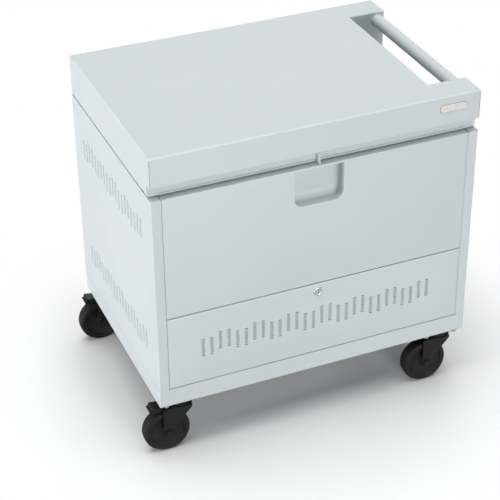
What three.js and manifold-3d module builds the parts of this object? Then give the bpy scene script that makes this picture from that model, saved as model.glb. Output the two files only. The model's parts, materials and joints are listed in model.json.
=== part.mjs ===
// A wheeled laptop charging cart: a folded sheet-steel cabinet on four swivel casters.
// The lid lifts on a rear hinge and carries the push handle. Below it a drop front opens the
// device bay, and a locked panel opens the power bay. Millimetres, +Z up, the front faces -Y.
// The origin is on the floor under the middle of the cabinet.

import * as THREE from 'three';
import { mergeVertices } from 'three/addons/utils/BufferGeometryUtils.js';
import Module from 'manifold-3d';

const wasm = await Module();
wasm.setup();

// Cabinet
const BODY_WIDTH = 762;
const BODY_DEPTH = 527;
const BODY_HEIGHT = 530;
const BASE_CLEARANCE = 137;
const BASE_STRIP = 44;
const SHEET = 1.6;
const BEND = 3;
const STILE_WIDTH = 22;
const STILE_RETURN = 28;
const BASE_FLANGE = 24;
const REAR_FLANGE = 20;

// Clearances
const SEAT = 0.3;
const RUNNING_GAP = 0.3;
const LID_GAP = 5;
const DOOR_SIDE_GAP = 2.5;
const DOOR_GAP = 3;
const DOOR_TOP_DROP = 1.5;

// Lid and handle
const LID_HEIGHT = 93;
const LID_BEND = 4;
const LID_LIP = 14;
const FASCIA_HEIGHT = 68;
const GROOVE_DEPTH = 18;
const NOTCH_DEPTH = 92;
const EAR_WIDTH = 70;
const HANDLE_RADIUS = 15;
const HANDLE_WALL = 2;
const HANDLE_INSET = 3;
const HANDLE_DROP = 22;
const HANDLE_ENTRY = 12;
const STIFFENER_WIDTH = 120;
const STIFFENER_CROWN = 60;
const STIFFENER_DEPTH = 22;
const STIFFENER_MARGIN = 40;
const CATCH_THICKNESS = 2.5;
const CATCH_TOE = 1.3;
const BUMPER_RADIUS = 5;
const BUMPER_FROM_FRONT = 48;
const PLATE_LENGTH = 66;
const PLATE_HEIGHT = 17;
const PLATE_THICKNESS = 1.5;
const PLATE_FROM_RIGHT = 33;
const PLATE_DROP = 28;

// Lid hinge
const HINGE_MARGIN = 60;
const HINGE_KNUCKLES = 7;
const HINGE_PIN_RADIUS = 2.5;
const KNUCKLE_RADIUS = 4.5;
const LEAF_THICKNESS = 1.5;
const LEAF_HEIGHT = 28;

// Drop front and lower panel
const PANEL_TOP_RISE = 185.5;
const PAN_DEPTH = 24;
const PIVOT_INSET = 5.2;
const PIVOT_RISE = 10;
const PIVOT_PIN_RADIUS = 2.5;
const PIVOT_HEAD_RADIUS = 3.2;
const PIVOT_HEAD_LENGTH = 2;
const PIVOT_REACH = 4;
const LINER_THICKNESS = 1.2;
const CUP_WIDTH = 115;
const CUP_HEIGHT = 87;
const CUP_DEPTH = 45;
const CUP_CORNER = 19;
const CUP_WALL = 1.5;
const CUP_DROP = 5.5;
const CHANNEL_HEIGHT = 24;
const CHANNEL_DEPTH = 22;

// Vents: columns of slots that step up and down in pairs
const VENT_PITCH = 20.4;
const VENT_WIDTH = 8.5;
const VENT_HEIGHT = 45.5;
const VENT_STAGGER = 9.4;
const VENT_RISE = 68.5;
const VENT_ROW_STEP = 286;
const FRONT_VENT_MARGIN = 75;
const SIDE_VENT_MARGIN = 65;

// Lock
const LOCK_DROP = 21.5;
const LOCK_BEZEL_RADIUS = 11;
const LOCK_BEZEL_PROUD = 2;
const LOCK_BODY_RADIUS = 9;
const LOCK_PLUG_RADIUS = 6;
const LOCK_KEY_WIDTH = 1.6;
const LOCK_KEY_HEIGHT = 7;
const LOCK_KEY_DEPTH = 4;
const CAM_LENGTH = 20;
const CAM_WIDTH = 12;
const CAM_THICKNESS = 2.5;
const CAM_CLEARANCE = 0.9;
const STRIKE_OVERLAP = 9;

// Inside
const RAIL_SETBACK = 29;
const BAY_WALL_FROM_RAIL = 18;
const DECK_RISE = 7.5;
const DECK_STRIP_HEIGHT = 14;
const BAY_WALL_SETBACK = 6;
const WELL_DEPTH = 62;
const WELL_FLANGE = 15;
const WELL_FRONT_GAP = 3;
const SLOTS_PER_RACK = 10;
const RACK_MARGIN = 4;
const RACK_GAP = 1;
const RACK_BASE = 3;
const RACK_FROM_FRONT = 60;
const DIVIDER_THICKNESS = 2.5;
const DIVIDER_DEPTH = 340;
const DIVIDER_HEIGHT = 180;
const DIVIDER_CORNER = 60;
const CABLE_GAP = 45;
const TRAY_DEPTH = 45;
const TRAY_BACK = 32;
const TRAY_LIP = 22;
const TRAY_DROP = 85;
const TRAY_MARGIN = 15;
const STRIP_LENGTH = 590;
const STRIP_HEIGHT = 45;
const STRIP_DEPTH = 40;
const STRIP_RISES = [32, 102];
const STRIP_OUTLETS = 10;
const OUTLET_SIZE = 28;
const OUTLET_RECESS = 3;
const CONTROLLER_MARGIN = 8;
const CONTROLLER_DEPTH = 220;
const CONTROLLER_HEADROOM = 38;
const CONTROLLER_EDGE = 4;

// Power inlet and switch
const INLET_FROM_RIGHT = 52;
const INLET_RISE = 60;
const INLET_OFFSET = 14;
const INLET_FLANGE_WIDTH = 36;
const INLET_FLANGE_HEIGHT = 64;
const INLET_FLANGE_THICKNESS = 3;
const INLET_BODY_DEPTH = 22;
const INLET_WALL = 3;
const INLET_CAVITY_WIDTH = 24;
const INLET_CAVITY_HEIGHT = 17;
const INLET_CAVITY_DEPTH = 16;
const INLET_BLADE_WIDTH = 2;
const INLET_BLADE_HEIGHT = 4;
const INLET_BLADE_PITCH = 7;
const INLET_BLADE_LENGTH = 8;
const ROCKER_WIDTH = 14;
const ROCKER_HEIGHT = 21;
const ROCKER_DEPTH = 9;
const ROCKER_TILT = 6;
const ROCKER_GAP = 1;
const ROCKER_PROUD = 1;
const ROCKER_PIN_RADIUS = 1.25;

// Casters
const CASTER_FROM_SIDE = 54;
const CASTER_FROM_FRONT = 29;
const CASTER_TRAIL = 34;
const WHEEL_RADIUS = 55;
const WHEEL_WIDTH = 30;
const WHEEL_SIDES = 28;
const WHEEL_SHOULDER = 6;
const WHEEL_HUB_RADIUS = 14;
const WHEEL_HUB_WIDTH = 34;
const WHEEL_DISH_RADIUS = 40;
const WHEEL_DISH_DEPTH = 4;
const AXLE_RADIUS = 6;
const AXLE_HEAD_RADIUS = 8.5;
const AXLE_HEAD_LENGTH = 3;
const PLATE_SIZE_X = 92;
const PLATE_SIZE_Y = 52;
const TOP_PLATE_THICKNESS = 3.2;
const RACE_RADIUS = 26;
const RACE_HEIGHT = 9;
const KING_PIN_RADIUS = 5;
const CROWN_TOP_RADIUS = 30;
const CROWN_BOTTOM_RADIUS = 24;
const CROWN_HEIGHT = 11;
const FORK_SIDE_GAP = 1.5;
const LEG_THICKNESS = 3.5;
const LEG_END_RADIUS = 11;
const LEG_FRONT_REACH = 24;
const ROOF_THICKNESS = 8;
const PEDAL_WIDTH = 28;
const PEDAL_PIN_RADIUS = 2.5;
const PEDAL_PIN_SETBACK = 38;
const PEDAL_PIN_DROP = 20;
const PEDAL_LENGTH = 30;
const PEDAL_THICKNESS = 9;
const PEDAL_LIP = 10;

// Facets round a bar and round a small pin
const BAR_SIDES = 20;
const PIN_SIDES = 12;

// Levels and faces worked out from the sizes above
const HALF_WIDTH = BODY_WIDTH / 2;
const FRONT = -BODY_DEPTH / 2;
const REAR = BODY_DEPTH / 2;
const BASE_TOP = BASE_CLEARANCE + BASE_STRIP;
const BODY_TOP = BASE_CLEARANCE + BODY_HEIGHT;
const LID_BOTTOM = BODY_TOP + LID_GAP;
const LID_TOP = LID_BOTTOM + LID_HEIGHT;
const FASCIA_BOTTOM = LID_TOP - FASCIA_HEIGHT;
const GROOVE_FACE = FRONT + GROOVE_DEPTH;
const PAN_HALF = HALF_WIDTH - STILE_WIDTH - DOOR_SIDE_GAP;
const PANEL_BOTTOM = BASE_TOP + DOOR_GAP;
const PANEL_TOP = BASE_TOP + PANEL_TOP_RISE;
const DOOR_BOTTOM = PANEL_TOP + DOOR_GAP;
const DOOR_TOP = BODY_TOP - DOOR_TOP_DROP;
const LOCK_HEIGHT = PANEL_TOP - LOCK_DROP;
const STRIKE_BOTTOM = LOCK_HEIGHT + CAM_LENGTH - STRIKE_OVERLAP;
const CAM_FRONT = FRONT + RAIL_SETBACK + SHEET + CAM_CLEARANCE;
const DECK_TOP = DOOR_BOTTOM + DECK_RISE;
const DECK_FRONT = FRONT + RAIL_SETBACK + SHEET + SEAT;
const REAR_INNER = REAR - SHEET;
const DECK_BACK = REAR_INNER - CABLE_GAP;
const NOTCH_EDGE = HALF_WIDTH - NOTCH_DEPTH;
const NOTCH_HALF = BODY_DEPTH / 2 - EAR_WIDTH;
const BAY_WALL = NOTCH_EDGE - BAY_WALL_SETBACK;
const BAY_LEFT = -HALF_WIDTH + SHEET;
const HINGE_Y = REAR + SEAT + KNUCKLE_RADIUS;
const HINGE_Z = BODY_TOP + LID_GAP / 2;
const HINGE_HALF = HALF_WIDTH - HINGE_MARGIN;
const WELL_FLOOR = BODY_TOP - WELL_DEPTH;
const HANDLE_X = HALF_WIDTH - HANDLE_INSET - HANDLE_RADIUS;
const HANDLE_Z = LID_TOP - HANDLE_DROP;
const INLET_X = HALF_WIDTH - INLET_FROM_RIGHT;
const INLET_Z = DECK_TOP + INLET_RISE;
const SOCKET_Z = INLET_Z - INLET_OFFSET;
const ROCKER_Z = INLET_Z + INLET_OFFSET;
const ROCKER_Y = REAR + SEAT + INLET_FLANGE_THICKNESS + ROCKER_PROUD - ROCKER_DEPTH / 2;
const WHEEL_HEIGHT = WHEEL_RADIUS * Math.cos(Math.PI / WHEEL_SIDES);

const PAINT = finish(0xc9d2d5, 0.45, 0.1);
const INNER_PAINT = finish(0xb4bcbf, 0.55, 0.1);
const ZINC = finish(0xb9bcbe, 0.35, 0.9);
const LOCK_METAL = finish(0xd0d2d3, 0.25, 0.95);
const BLACK_PLASTIC = finish(0x1c1d1f, 0.6, 0.0);
const GREY_PLASTIC = finish(0x595d61, 0.6, 0.0);
const RUBBER = finish(0x161718, 0.85, 0.0);

function finish(color, roughness, metalness) {
  return new THREE.MeshStandardMaterial({ color, roughness, metalness });
}

// Turns a closed geometry into a solid that can be joined and cut.
function toSolid(geometry) {
  const bare = geometry.index ? geometry.toNonIndexed() : geometry.clone();
  bare.deleteAttribute('normal');
  bare.deleteAttribute('uv');
  const merged = mergeVertices(bare, 1e-4);
  const corners = merged.index.array;
  const kept = [];
  for (let i = 0; i < corners.length; i += 3) {
    const [a, b, c] = [corners[i], corners[i + 1], corners[i + 2]];
    if (a !== b && b !== c && c !== a) {
      kept.push(a, b, c);
    }
  }
  return new wasm.Manifold(new wasm.Mesh({
    numProp: 3,
    vertProperties: new Float32Array(merged.attributes.position.array),
    triVerts: new Uint32Array(kept),
  }));
}

function toGeometry(solid) {
  const mesh = solid.getMesh();
  const geometry = new THREE.BufferGeometry();
  const points = new THREE.BufferAttribute(new Float32Array(mesh.vertProperties), 3);
  geometry.setAttribute('position', points);
  geometry.setIndex(new THREE.BufferAttribute(new Uint32Array(mesh.triVerts), 1));
  geometry.computeVertexNormals();
  return geometry;
}

function join(first, ...others) {
  return others.reduce((sum, other) => sum.add(other), first);
}

function cut(first, ...tools) {
  return tools.reduce((rest, tool) => rest.subtract(tool), first);
}

function block([x0, x1], [y0, y1], [z0, z1]) {
  const geometry = new THREE.BoxGeometry(x1 - x0, y1 - y0, z1 - z0);
  geometry.translate((x0 + x1) / 2, (y0 + y1) / 2, (z0 + z1) / 2);
  return toSolid(geometry);
}

// The span between two values given in either order.
function between(a, b) {
  return [Math.min(a, b), Math.max(a, b)];
}

// A round bar along x, y or z. The centre gives the two other coordinates in x, y, z order.
function rod(axis, radius, [from, to], [a, b], sides = BAR_SIDES, endRadius = radius) {
  const geometry = new THREE.CylinderGeometry(endRadius, radius, to - from, sides);
  geometry.translate(0, (from + to) / 2, 0);
  if (axis === 'x') {
    geometry.rotateZ(-Math.PI / 2);
    geometry.translate(0, a, b);
  } else if (axis === 'y') {
    geometry.translate(a, 0, b);
  } else {
    geometry.rotateX(Math.PI / 2);
    geometry.translate(a, b, 0);
  }
  return toSolid(geometry);
}

// Replaces each corner [u, v, radius] of a closed outline by an arc.
function rounded(corners, steps = 4) {
  const outline = [];
  corners.forEach(([u, v, radius = 0], i) => {
    const here = new THREE.Vector2(u, v);
    if (radius <= 0) {
      outline.push(here);
      return;
    }
    const last = corners[(i + corners.length - 1) % corners.length];
    const next = corners[(i + 1) % corners.length];
    const back = new THREE.Vector2(last[0], last[1]).sub(here).normalize();
    const ahead = new THREE.Vector2(next[0], next[1]).sub(here).normalize();
    const half = Math.acos(THREE.MathUtils.clamp(back.dot(ahead), -1, 1)) / 2;
    const reach = radius / Math.tan(half);
    const middle = back.clone().add(ahead).normalize().multiplyScalar(radius / Math.sin(half));
    const centre = here.clone().add(middle);
    const start = here.clone().addScaledVector(back, reach).sub(centre).angle();
    const end = here.clone().addScaledVector(ahead, reach).sub(centre).angle();
    const turn = Math.atan2(Math.sin(end - start), Math.cos(end - start));
    for (let k = 0; k <= steps; k += 1) {
      const angle = start + (turn * k) / steps;
      const spoke = new THREE.Vector2(Math.cos(angle), Math.sin(angle)).multiplyScalar(radius);
      outline.push(centre.clone().add(spoke));
    }
  });
  return outline;
}

// The closed outline of a bent sheet. The path runs along one face, with the sheet on its left.
function folded(path, thickness = SHEET, bend = BEND) {
  const near = [];
  const far = [];
  path.forEach(([u, v], i) => {
    const before = side(path[Math.max(i - 1, 0)], path[Math.max(i, 1)]);
    const after = side(path[Math.min(i, path.length - 2)], path[Math.min(i + 1, path.length - 1)]);
    const turn = before.cross(after);
    const shift = before.clone().add(after).multiplyScalar(thickness / (1 + before.dot(after)));
    const inner = bend - thickness;
    const bent = Math.abs(turn) > 1e-6;
    near.push([u, v, bent ? (turn > 0 ? bend : inner) : 0]);
    far.push([u + shift.x, v + shift.y, bent ? (turn > 0 ? inner : bend) : 0]);
  });
  return rounded([...near, ...far.reverse()]);
}

// The unit vector to the left of the way from one point to the next.
function side([u0, v0], [u1, v1]) {
  return new THREE.Vector2(v0 - v1, u1 - u0).normalize();
}

// An outline pushed along an axis. It is drawn in (y, z) for x, (x, z) for y and (x, y) for z.
function prism(axis, outline, [from, to]) {
  const shape = new THREE.Shape(outline);
  const geometry = new THREE.ExtrudeGeometry(shape, { depth: to - from, bevelEnabled: false });
  if (axis === 'x') {
    const turn = new THREE.Matrix4();
    turn.makeBasis(new THREE.Vector3(0, 1, 0), new THREE.Vector3(0, 0, 1), new THREE.Vector3(1, 0, 0));
    geometry.applyMatrix4(turn);
    geometry.translate(from, 0, 0);
  } else if (axis === 'y') {
    geometry.rotateX(Math.PI / 2);
    geometry.translate(0, to, 0);
  } else {
    geometry.translate(0, 0, from);
  }
  return toSolid(geometry);
}

// A ring or disc about the y axis from a closed half section of [radius, y] points.
function turned(section, sides) {
  const points = [...section, section[0]].map(([radius, y]) => new THREE.Vector2(radius, y));
  return toSolid(new THREE.LatheGeometry(points, sides, Math.PI / sides));
}

function rectangle([u0, u1], [v0, v1], radius = 0) {
  return rounded([[u0, v0, radius], [u1, v0, radius], [u1, v1, radius], [u0, v1, radius]]);
}

function piece(name, solid, material) {
  const mesh = new THREE.Mesh(toGeometry(solid), material);
  mesh.name = name;
  return mesh;
}

// One row of vent columns, centred, with every second pair lifted.
function ventRow(length) {
  const count = 2 * Math.floor((length / VENT_PITCH + 1) / 2);
  return Array.from({ length: count }, (_, i) => ({
    along: (i - (count - 1) / 2) * VENT_PITCH,
    low: BASE_TOP + VENT_RISE + (Math.floor(i / 2) % 2) * VENT_STAGGER,
  }));
}

// Cabinet

function basePan() {
  const full = rectangle([-HALF_WIDTH, HALF_WIDTH], [FRONT, REAR], BEND);
  const inset = (by) => [[-HALF_WIDTH + by, HALF_WIDTH - by], [FRONT + by, REAR - by]];
  const tray = prism('z', full, [BASE_CLEARANCE, BASE_TOP]);
  const hollow = block(...inset(SHEET), [BASE_CLEARANCE - SHEET, BASE_TOP - SHEET]);
  const mouth = block(...inset(BASE_FLANGE), [BASE_TOP - 2 * SHEET, BASE_TOP + SHEET]);
  return piece('base_pan', cut(tray, hollow, mouth), PAINT);
}

// The floor of the power bay lies inside the base strip and carries the casters.
function baseFloor() {
  const by = SHEET + SEAT;
  const sheet = block(
    [-HALF_WIDTH + by, HALF_WIDTH - by],
    [FRONT + by, REAR - by],
    [BASE_CLEARANCE, BASE_CLEARANCE + SHEET],
  );
  return piece('base_floor', sheet, PAINT);
}

// The wall, front stile and stile return of one side are one bent sheet with closing flanges.
// The right wall is cut down beside the hand well.
function sidePanel(name, hand) {
  const span = [BASE_TOP + SEAT, BODY_TOP];
  const stile = hand * (HALF_WIDTH - STILE_WIDTH);
  const wall = hand * HALF_WIDTH;
  const path = [[wall, REAR], [wall, FRONT], [stile, FRONT], [stile, FRONT + STILE_RETURN]];
  const sheet = prism('z', folded(hand < 0 ? path : path.reverse()), span);
  const flange = rounded([[wall, REAR], [wall, FRONT, BEND], [stile, FRONT, BEND], [stile, REAR]]);
  const foot = prism('z', flange, [span[0], span[0] + SHEET]);
  const head = prism('z', flange, [span[1] - SHEET, span[1]]);
  const slots = ventRow(BODY_DEPTH - 2 * SIDE_VENT_MARGIN).flatMap(({ along, low }) => (
    [low, low + VENT_ROW_STEP].map((bottom) => block(
      between(wall - hand * 3 * SHEET, wall + hand),
      [-along - VENT_WIDTH / 2, -along + VENT_WIDTH / 2],
      [bottom, bottom + VENT_HEIGHT],
    ))
  ));
  const pinHoles = [PANEL_BOTTOM, DOOR_BOTTOM].map((bottom) => rod(
    'x',
    PIVOT_PIN_RADIUS + RUNNING_GAP,
    between(stile - hand, stile + hand * 3 * SHEET),
    [FRONT + PIVOT_INSET, bottom + PIVOT_RISE],
    PIN_SIDES,
  ));
  const shell = cut(join(sheet, foot, head), ...slots, ...pinHoles);
  if (hand < 0) {
    return piece(name, shell, PAINT);
  }
  const well = block(
    [stile - 1, wall + 1],
    [-NOTCH_HALF, NOTCH_HALF],
    [WELL_FLOOR, BODY_TOP + 1],
  );
  return piece(name, cut(shell, well), PAINT);
}

// The rear sheet fits between the sides, with flanges turned forward on all four edges.
function rearPanel() {
  const half = HALF_WIDTH - SHEET - SEAT;
  const low = BASE_TOP + SEAT + SHEET + SEAT;
  const high = BODY_TOP;
  const sheet = block([-half, half], [REAR - REAR_FLANGE, REAR], [low, high]);
  const hollow = block(
    [-half + SHEET, half - SHEET],
    [REAR - REAR_FLANGE - 1, REAR - SHEET],
    [low + SHEET, high - SHEET],
  );
  const sideNotches = [-1, 1].map((hand) => block(
    between(hand * (HALF_WIDTH - STILE_WIDTH - SEAT), hand * HALF_WIDTH),
    [REAR - REAR_FLANGE - 1, REAR + 1],
    [high - SHEET - SEAT, high + 1],
  ));
  const window = block(
    [INLET_X - INLET_FLANGE_WIDTH / 2 + INLET_WALL, INLET_X + INLET_FLANGE_WIDTH / 2 - INLET_WALL],
    [REAR - 2 * SHEET, REAR + 1],
    [INLET_Z - INLET_FLANGE_HEIGHT / 2 + INLET_WALL, INLET_Z + INLET_FLANGE_HEIGHT / 2 - INLET_WALL],
  );
  return piece('rear_panel', cut(sheet, hollow, ...sideNotches, window), PAINT);
}

// The deck stops short of the rear sheet, so that charging leads can rise behind it.
function deckShelf() {
  const half = HALF_WIDTH - SHEET - SEAT;
  const sheet = block([-half, half], [DECK_FRONT, DECK_BACK], [DECK_TOP - SHEET, DECK_TOP]);
  return piece('deck_shelf', sheet, INNER_PAINT);
}

// A strip on each wall carries the deck's edge.
function deckStrip(name, hand) {
  const wall = HALF_WIDTH - SHEET - SEAT;
  const top = DECK_TOP - SHEET - SEAT;
  const strip = block(
    between(hand * (wall - SHEET), hand * wall),
    [DECK_FRONT, DECK_BACK],
    [top - DECK_STRIP_HEIGHT, top],
  );
  return piece(name, strip, INNER_PAINT);
}

// The front cross rail hangs before the deck's edge as the strike for the lock.
function crossRail() {
  const half = HALF_WIDTH - SHEET - SEAT;
  const front = FRONT + RAIL_SETBACK;
  const bar = block([-half, half], [front, front + SHEET], [STRIKE_BOTTOM, DECK_TOP]);
  return piece('cross_rail', bar, INNER_PAINT);
}

// The fixed top of the power side is bent down into a well that gives the knuckles room.
function handWell() {
  const left = BAY_WALL + SHEET + SEAT;
  const right = HALF_WIDTH - STILE_WIDTH - SEAT;
  const front = FRONT + PAN_DEPTH + WELL_FRONT_GAP;
  const back = REAR - REAR_FLANGE - SEAT;
  const rim = BODY_TOP - SHEET - SEAT;
  const top = [
    [back, BODY_TOP],
    [NOTCH_HALF, BODY_TOP],
    [NOTCH_HALF, WELL_FLOOR],
    [-NOTCH_HALF, WELL_FLOOR],
    [-NOTCH_HALF, BODY_TOP],
    [front, BODY_TOP],
    [front, BODY_TOP - WELL_FLANGE],
  ];
  const end = [
    [NOTCH_HALF, rim],
    [NOTCH_HALF, WELL_FLOOR],
    [-NOTCH_HALF, WELL_FLOOR],
    [-NOTCH_HALF, rim],
  ];
  const roof = prism('x', folded(top), [left, right]);
  const trough = prism('x', folded(end), [right - SHEET, HALF_WIDTH - SHEET - SEAT]);
  return piece('hand_well', join(roof, trough), PAINT);
}

function bayEndWall() {
  const front = FRONT + RAIL_SETBACK + SHEET + BAY_WALL_FROM_RAIL;
  const wall = block(
    [BAY_WALL, BAY_WALL + SHEET],
    [front, REAR_INNER - SEAT],
    [DECK_TOP + SEAT, BODY_TOP - SHEET - SEAT],
  );
  return piece('bay_end_wall', wall, INNER_PAINT);
}

// Lid

function lidShell() {
  const outline = rounded([
    [GROOVE_FACE, LID_BOTTOM],
    [REAR, LID_BOTTOM],
    [REAR, LID_TOP, LID_BEND],
    [FRONT, LID_TOP, LID_BEND],
    [FRONT, FASCIA_BOTTOM],
    [GROOVE_FACE, FASCIA_BOTTOM],
  ]);
  const inside = rounded([
    [GROOVE_FACE + SHEET, LID_BOTTOM + SHEET],
    [REAR - SHEET, LID_BOTTOM + SHEET],
    [REAR - SHEET, LID_TOP - SHEET, LID_BEND - SHEET],
    [FRONT + SHEET, LID_TOP - SHEET, LID_BEND - SHEET],
    [FRONT + SHEET, FASCIA_BOTTOM + SHEET],
    [GROOVE_FACE + SHEET, FASCIA_BOTTOM + SHEET],
  ]);
  const notch = (grow) => block(
    [NOTCH_EDGE - grow, HALF_WIDTH + 1],
    [-NOTCH_HALF - grow, NOTCH_HALF + grow],
    [LID_BOTTOM - 1, LID_TOP + 1],
  );
  const mouth = block(
    [-HALF_WIDTH + LID_LIP, HALF_WIDTH - LID_LIP],
    [GROOVE_FACE + LID_LIP, REAR - LID_LIP],
    [LID_BOTTOM - 1, LID_BOTTOM + 2 * SHEET],
  );
  const shell = prism('x', outline, [-HALF_WIDTH, HALF_WIDTH]);
  const hollow = prism('x', inside, [-HALF_WIDTH + SHEET, HALF_WIDTH - SHEET]);
  const handleHole = rod(
    'y',
    HANDLE_RADIUS + SEAT,
    [-NOTCH_HALF - 2 * SHEET, NOTCH_HALF + 2 * SHEET],
    [HANDLE_X, HANDLE_Z],
  );
  const solid = cut(
    shell,
    notch(0),
    cut(hollow, notch(SHEET)),
    cut(mouth, notch(LID_LIP)),
    handleHole,
  );
  return piece('lid_shell', solid, PAINT);
}

function lidStiffener() {
  const top = LID_TOP - 2 * SHEET - SEAT;
  const low = top - STIFFENER_DEPTH;
  const foot = STIFFENER_WIDTH / 2;
  const crown = STIFFENER_CROWN / 2;
  const path = [[-foot, top], [-crown, top], [-crown, low], [crown, low], [crown, top], [foot, top]];
  const span = [-HALF_WIDTH + STIFFENER_MARGIN, NOTCH_EDGE - STIFFENER_MARGIN];
  return piece('lid_stiffener', prism('x', folded(path), span), INNER_PAINT);
}

function handleTube() {
  const reach = NOTCH_HALF + HANDLE_ENTRY;
  const centre = [HANDLE_X, HANDLE_Z];
  const tube = rod('y', HANDLE_RADIUS, [-reach, reach], centre);
  const bore = rod('y', HANDLE_RADIUS - HANDLE_WALL, [-reach - 1, reach + 1], centre);
  return piece('handle_tube', cut(tube, bore), PAINT);
}

// The tongue under the fascia comes down to the top edge of the drop front.
function lidCatch() {
  const back = GROOVE_FACE - SEAT;
  const toe = DOOR_TOP + CATCH_TOE;
  const outline = [
    [back, FASCIA_BOTTOM - SEAT],
    [FRONT + GROOVE_DEPTH / 4, FASCIA_BOTTOM - SEAT],
    [FRONT + GROOVE_DEPTH / 4, toe + GROOVE_DEPTH / 3],
    [FRONT + SHEET, toe],
    [back, toe],
  ].map(([y, z]) => new THREE.Vector2(y, z));
  const half = CATCH_THICKNESS / 2;
  return piece('lid_catch', prism('x', outline, [-half, half]), PAINT);
}

function blankPlate() {
  const right = HALF_WIDTH - PLATE_FROM_RIGHT;
  const middle = LID_TOP - PLATE_DROP;
  const outline = rounded([
    [right - PLATE_LENGTH, middle - PLATE_HEIGHT / 2, PLATE_HEIGHT / 2.01],
    [right, middle - PLATE_HEIGHT / 2, PLATE_HEIGHT / 2.01],
    [right, middle + PLATE_HEIGHT / 2, PLATE_HEIGHT / 2.01],
    [right - PLATE_LENGTH, middle + PLATE_HEIGHT / 2, PLATE_HEIGHT / 2.01],
  ], 6);
  const face = FRONT - SEAT;
  return piece('blank_plate', prism('y', outline, [face - PLATE_THICKNESS, face]), ZINC);
}

// One leaf of the long rear hinge. The hand is +1 for the lid leaf and -1 for the cabinet leaf.
function hingeLeaf(name, hand) {
  const step = (2 * HINGE_HALF) / HINGE_KNUCKLES;
  const deep = [REAR + SEAT, REAR + SEAT + LEAF_THICKNESS];
  const level = (a, b) => between(HINGE_Z + hand * a, HINGE_Z + hand * b);
  let leaf = block([-HINGE_HALF, HINGE_HALF], deep, level(KNUCKLE_RADIUS + RUNNING_GAP, LEAF_HEIGHT));
  for (let i = 0; i < HINGE_KNUCKLES; i += 1) {
    if ((i % 2 === 0) === (hand < 0)) {
      const from = -HINGE_HALF + i * step + RUNNING_GAP;
      const span = [from, from + step - 2 * RUNNING_GAP];
      const tab = block(span, deep, level(0, KNUCKLE_RADIUS + 1));
      leaf = join(leaf, tab, rod('x', KNUCKLE_RADIUS, span, [HINGE_Y, HINGE_Z], PIN_SIDES));
    }
  }
  const bore = rod(
    'x',
    HINGE_PIN_RADIUS + RUNNING_GAP,
    [-HINGE_HALF - 1, HINGE_HALF + 1],
    [HINGE_Y, HINGE_Z],
    PIN_SIDES,
  );
  return piece(name, cut(leaf, bore), ZINC);
}

function hingePin() {
  const pin = rod('x', HINGE_PIN_RADIUS, [-HINGE_HALF, HINGE_HALF], [HINGE_Y, HINGE_Z], PIN_SIDES);
  return piece('lid_hinge_pin', pin, ZINC);
}

function lidBumper(name, hand) {
  const centre = [hand * (HALF_WIDTH - LID_LIP / 2), FRONT + BUMPER_FROM_FRONT];
  return piece(name, rod('z', BUMPER_RADIUS, [BODY_TOP + SEAT, LID_BOTTOM - SEAT], centre), RUBBER);
}

// Drop front and lower panel

// A pan open to the rear, with a pivot hole near the foot of each end flange.
function frontPan(low, high) {
  const pan = block([-PAN_HALF, PAN_HALF], [FRONT, FRONT + PAN_DEPTH], [low, high]);
  const hollow = block(
    [-PAN_HALF + SHEET, PAN_HALF - SHEET],
    [FRONT + SHEET, FRONT + PAN_DEPTH + 1],
    [low + SHEET, high - SHEET],
  );
  const pivot = rod(
    'x',
    PIVOT_PIN_RADIUS + SEAT,
    [-PAN_HALF - 1, PAN_HALF + 1],
    [FRONT + PIVOT_INSET, low + PIVOT_RISE],
    PIN_SIDES,
  );
  return cut(pan, hollow, pivot);
}

function pivotPin(name, hand, low) {
  const centre = [FRONT + PIVOT_INSET, low + PIVOT_RISE];
  const inner = PAN_HALF - SHEET - SEAT;
  const outer = HALF_WIDTH - STILE_WIDTH + SHEET + PIVOT_REACH;
  const span = (a, b) => between(hand * a, hand * b);
  const head = rod('x', PIVOT_HEAD_RADIUS, span(inner - PIVOT_HEAD_LENGTH, inner), centre, PIN_SIDES);
  const pin = rod('x', PIVOT_PIN_RADIUS, span(inner - 1, outer), centre, PIN_SIDES);
  return piece(name, join(pin, head), ZINC);
}

// The cup opening seen from the front: a flat top and two round lower corners, grown all round.
function cupOutline(grow) {
  const half = CUP_WIDTH / 2 + grow;
  const high = DOOR_TOP - CUP_DROP + grow;
  const low = DOOR_TOP - CUP_DROP - CUP_HEIGHT - grow;
  const corner = CUP_CORNER + grow;
  return rounded([[-half, low, corner], [half, low, corner], [half, high], [-half, high]], 8);
}

function upperDoor() {
  const opening = prism('y', cupOutline(0), [FRONT - 1, FRONT + 2 * SHEET]);
  return piece('upper_door', cut(frontPan(DOOR_BOTTOM, DOOR_TOP), opening), PAINT);
}

function doorLiner() {
  const by = SHEET + SEAT;
  const sheet = block(
    [-PAN_HALF + by, PAN_HALF - by],
    [FRONT + PAN_DEPTH - LINER_THICKNESS, FRONT + PAN_DEPTH],
    [DOOR_BOTTOM + by, DOOR_TOP - by],
  );
  const opening = prism('y', cupOutline(CUP_WALL + SEAT), [FRONT, FRONT + 2 * PAN_DEPTH]);
  return piece('door_liner', cut(sheet, opening), INNER_PAINT);
}

function pullCup() {
  const mouth = FRONT + SHEET + SEAT;
  const cup = prism('y', cupOutline(CUP_WALL), [mouth, FRONT + CUP_DEPTH + CUP_WALL]);
  const hollow = prism('y', cupOutline(0), [mouth - 1, FRONT + CUP_DEPTH]);
  return piece('pull_cup', cut(cup, hollow), PAINT);
}

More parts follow.
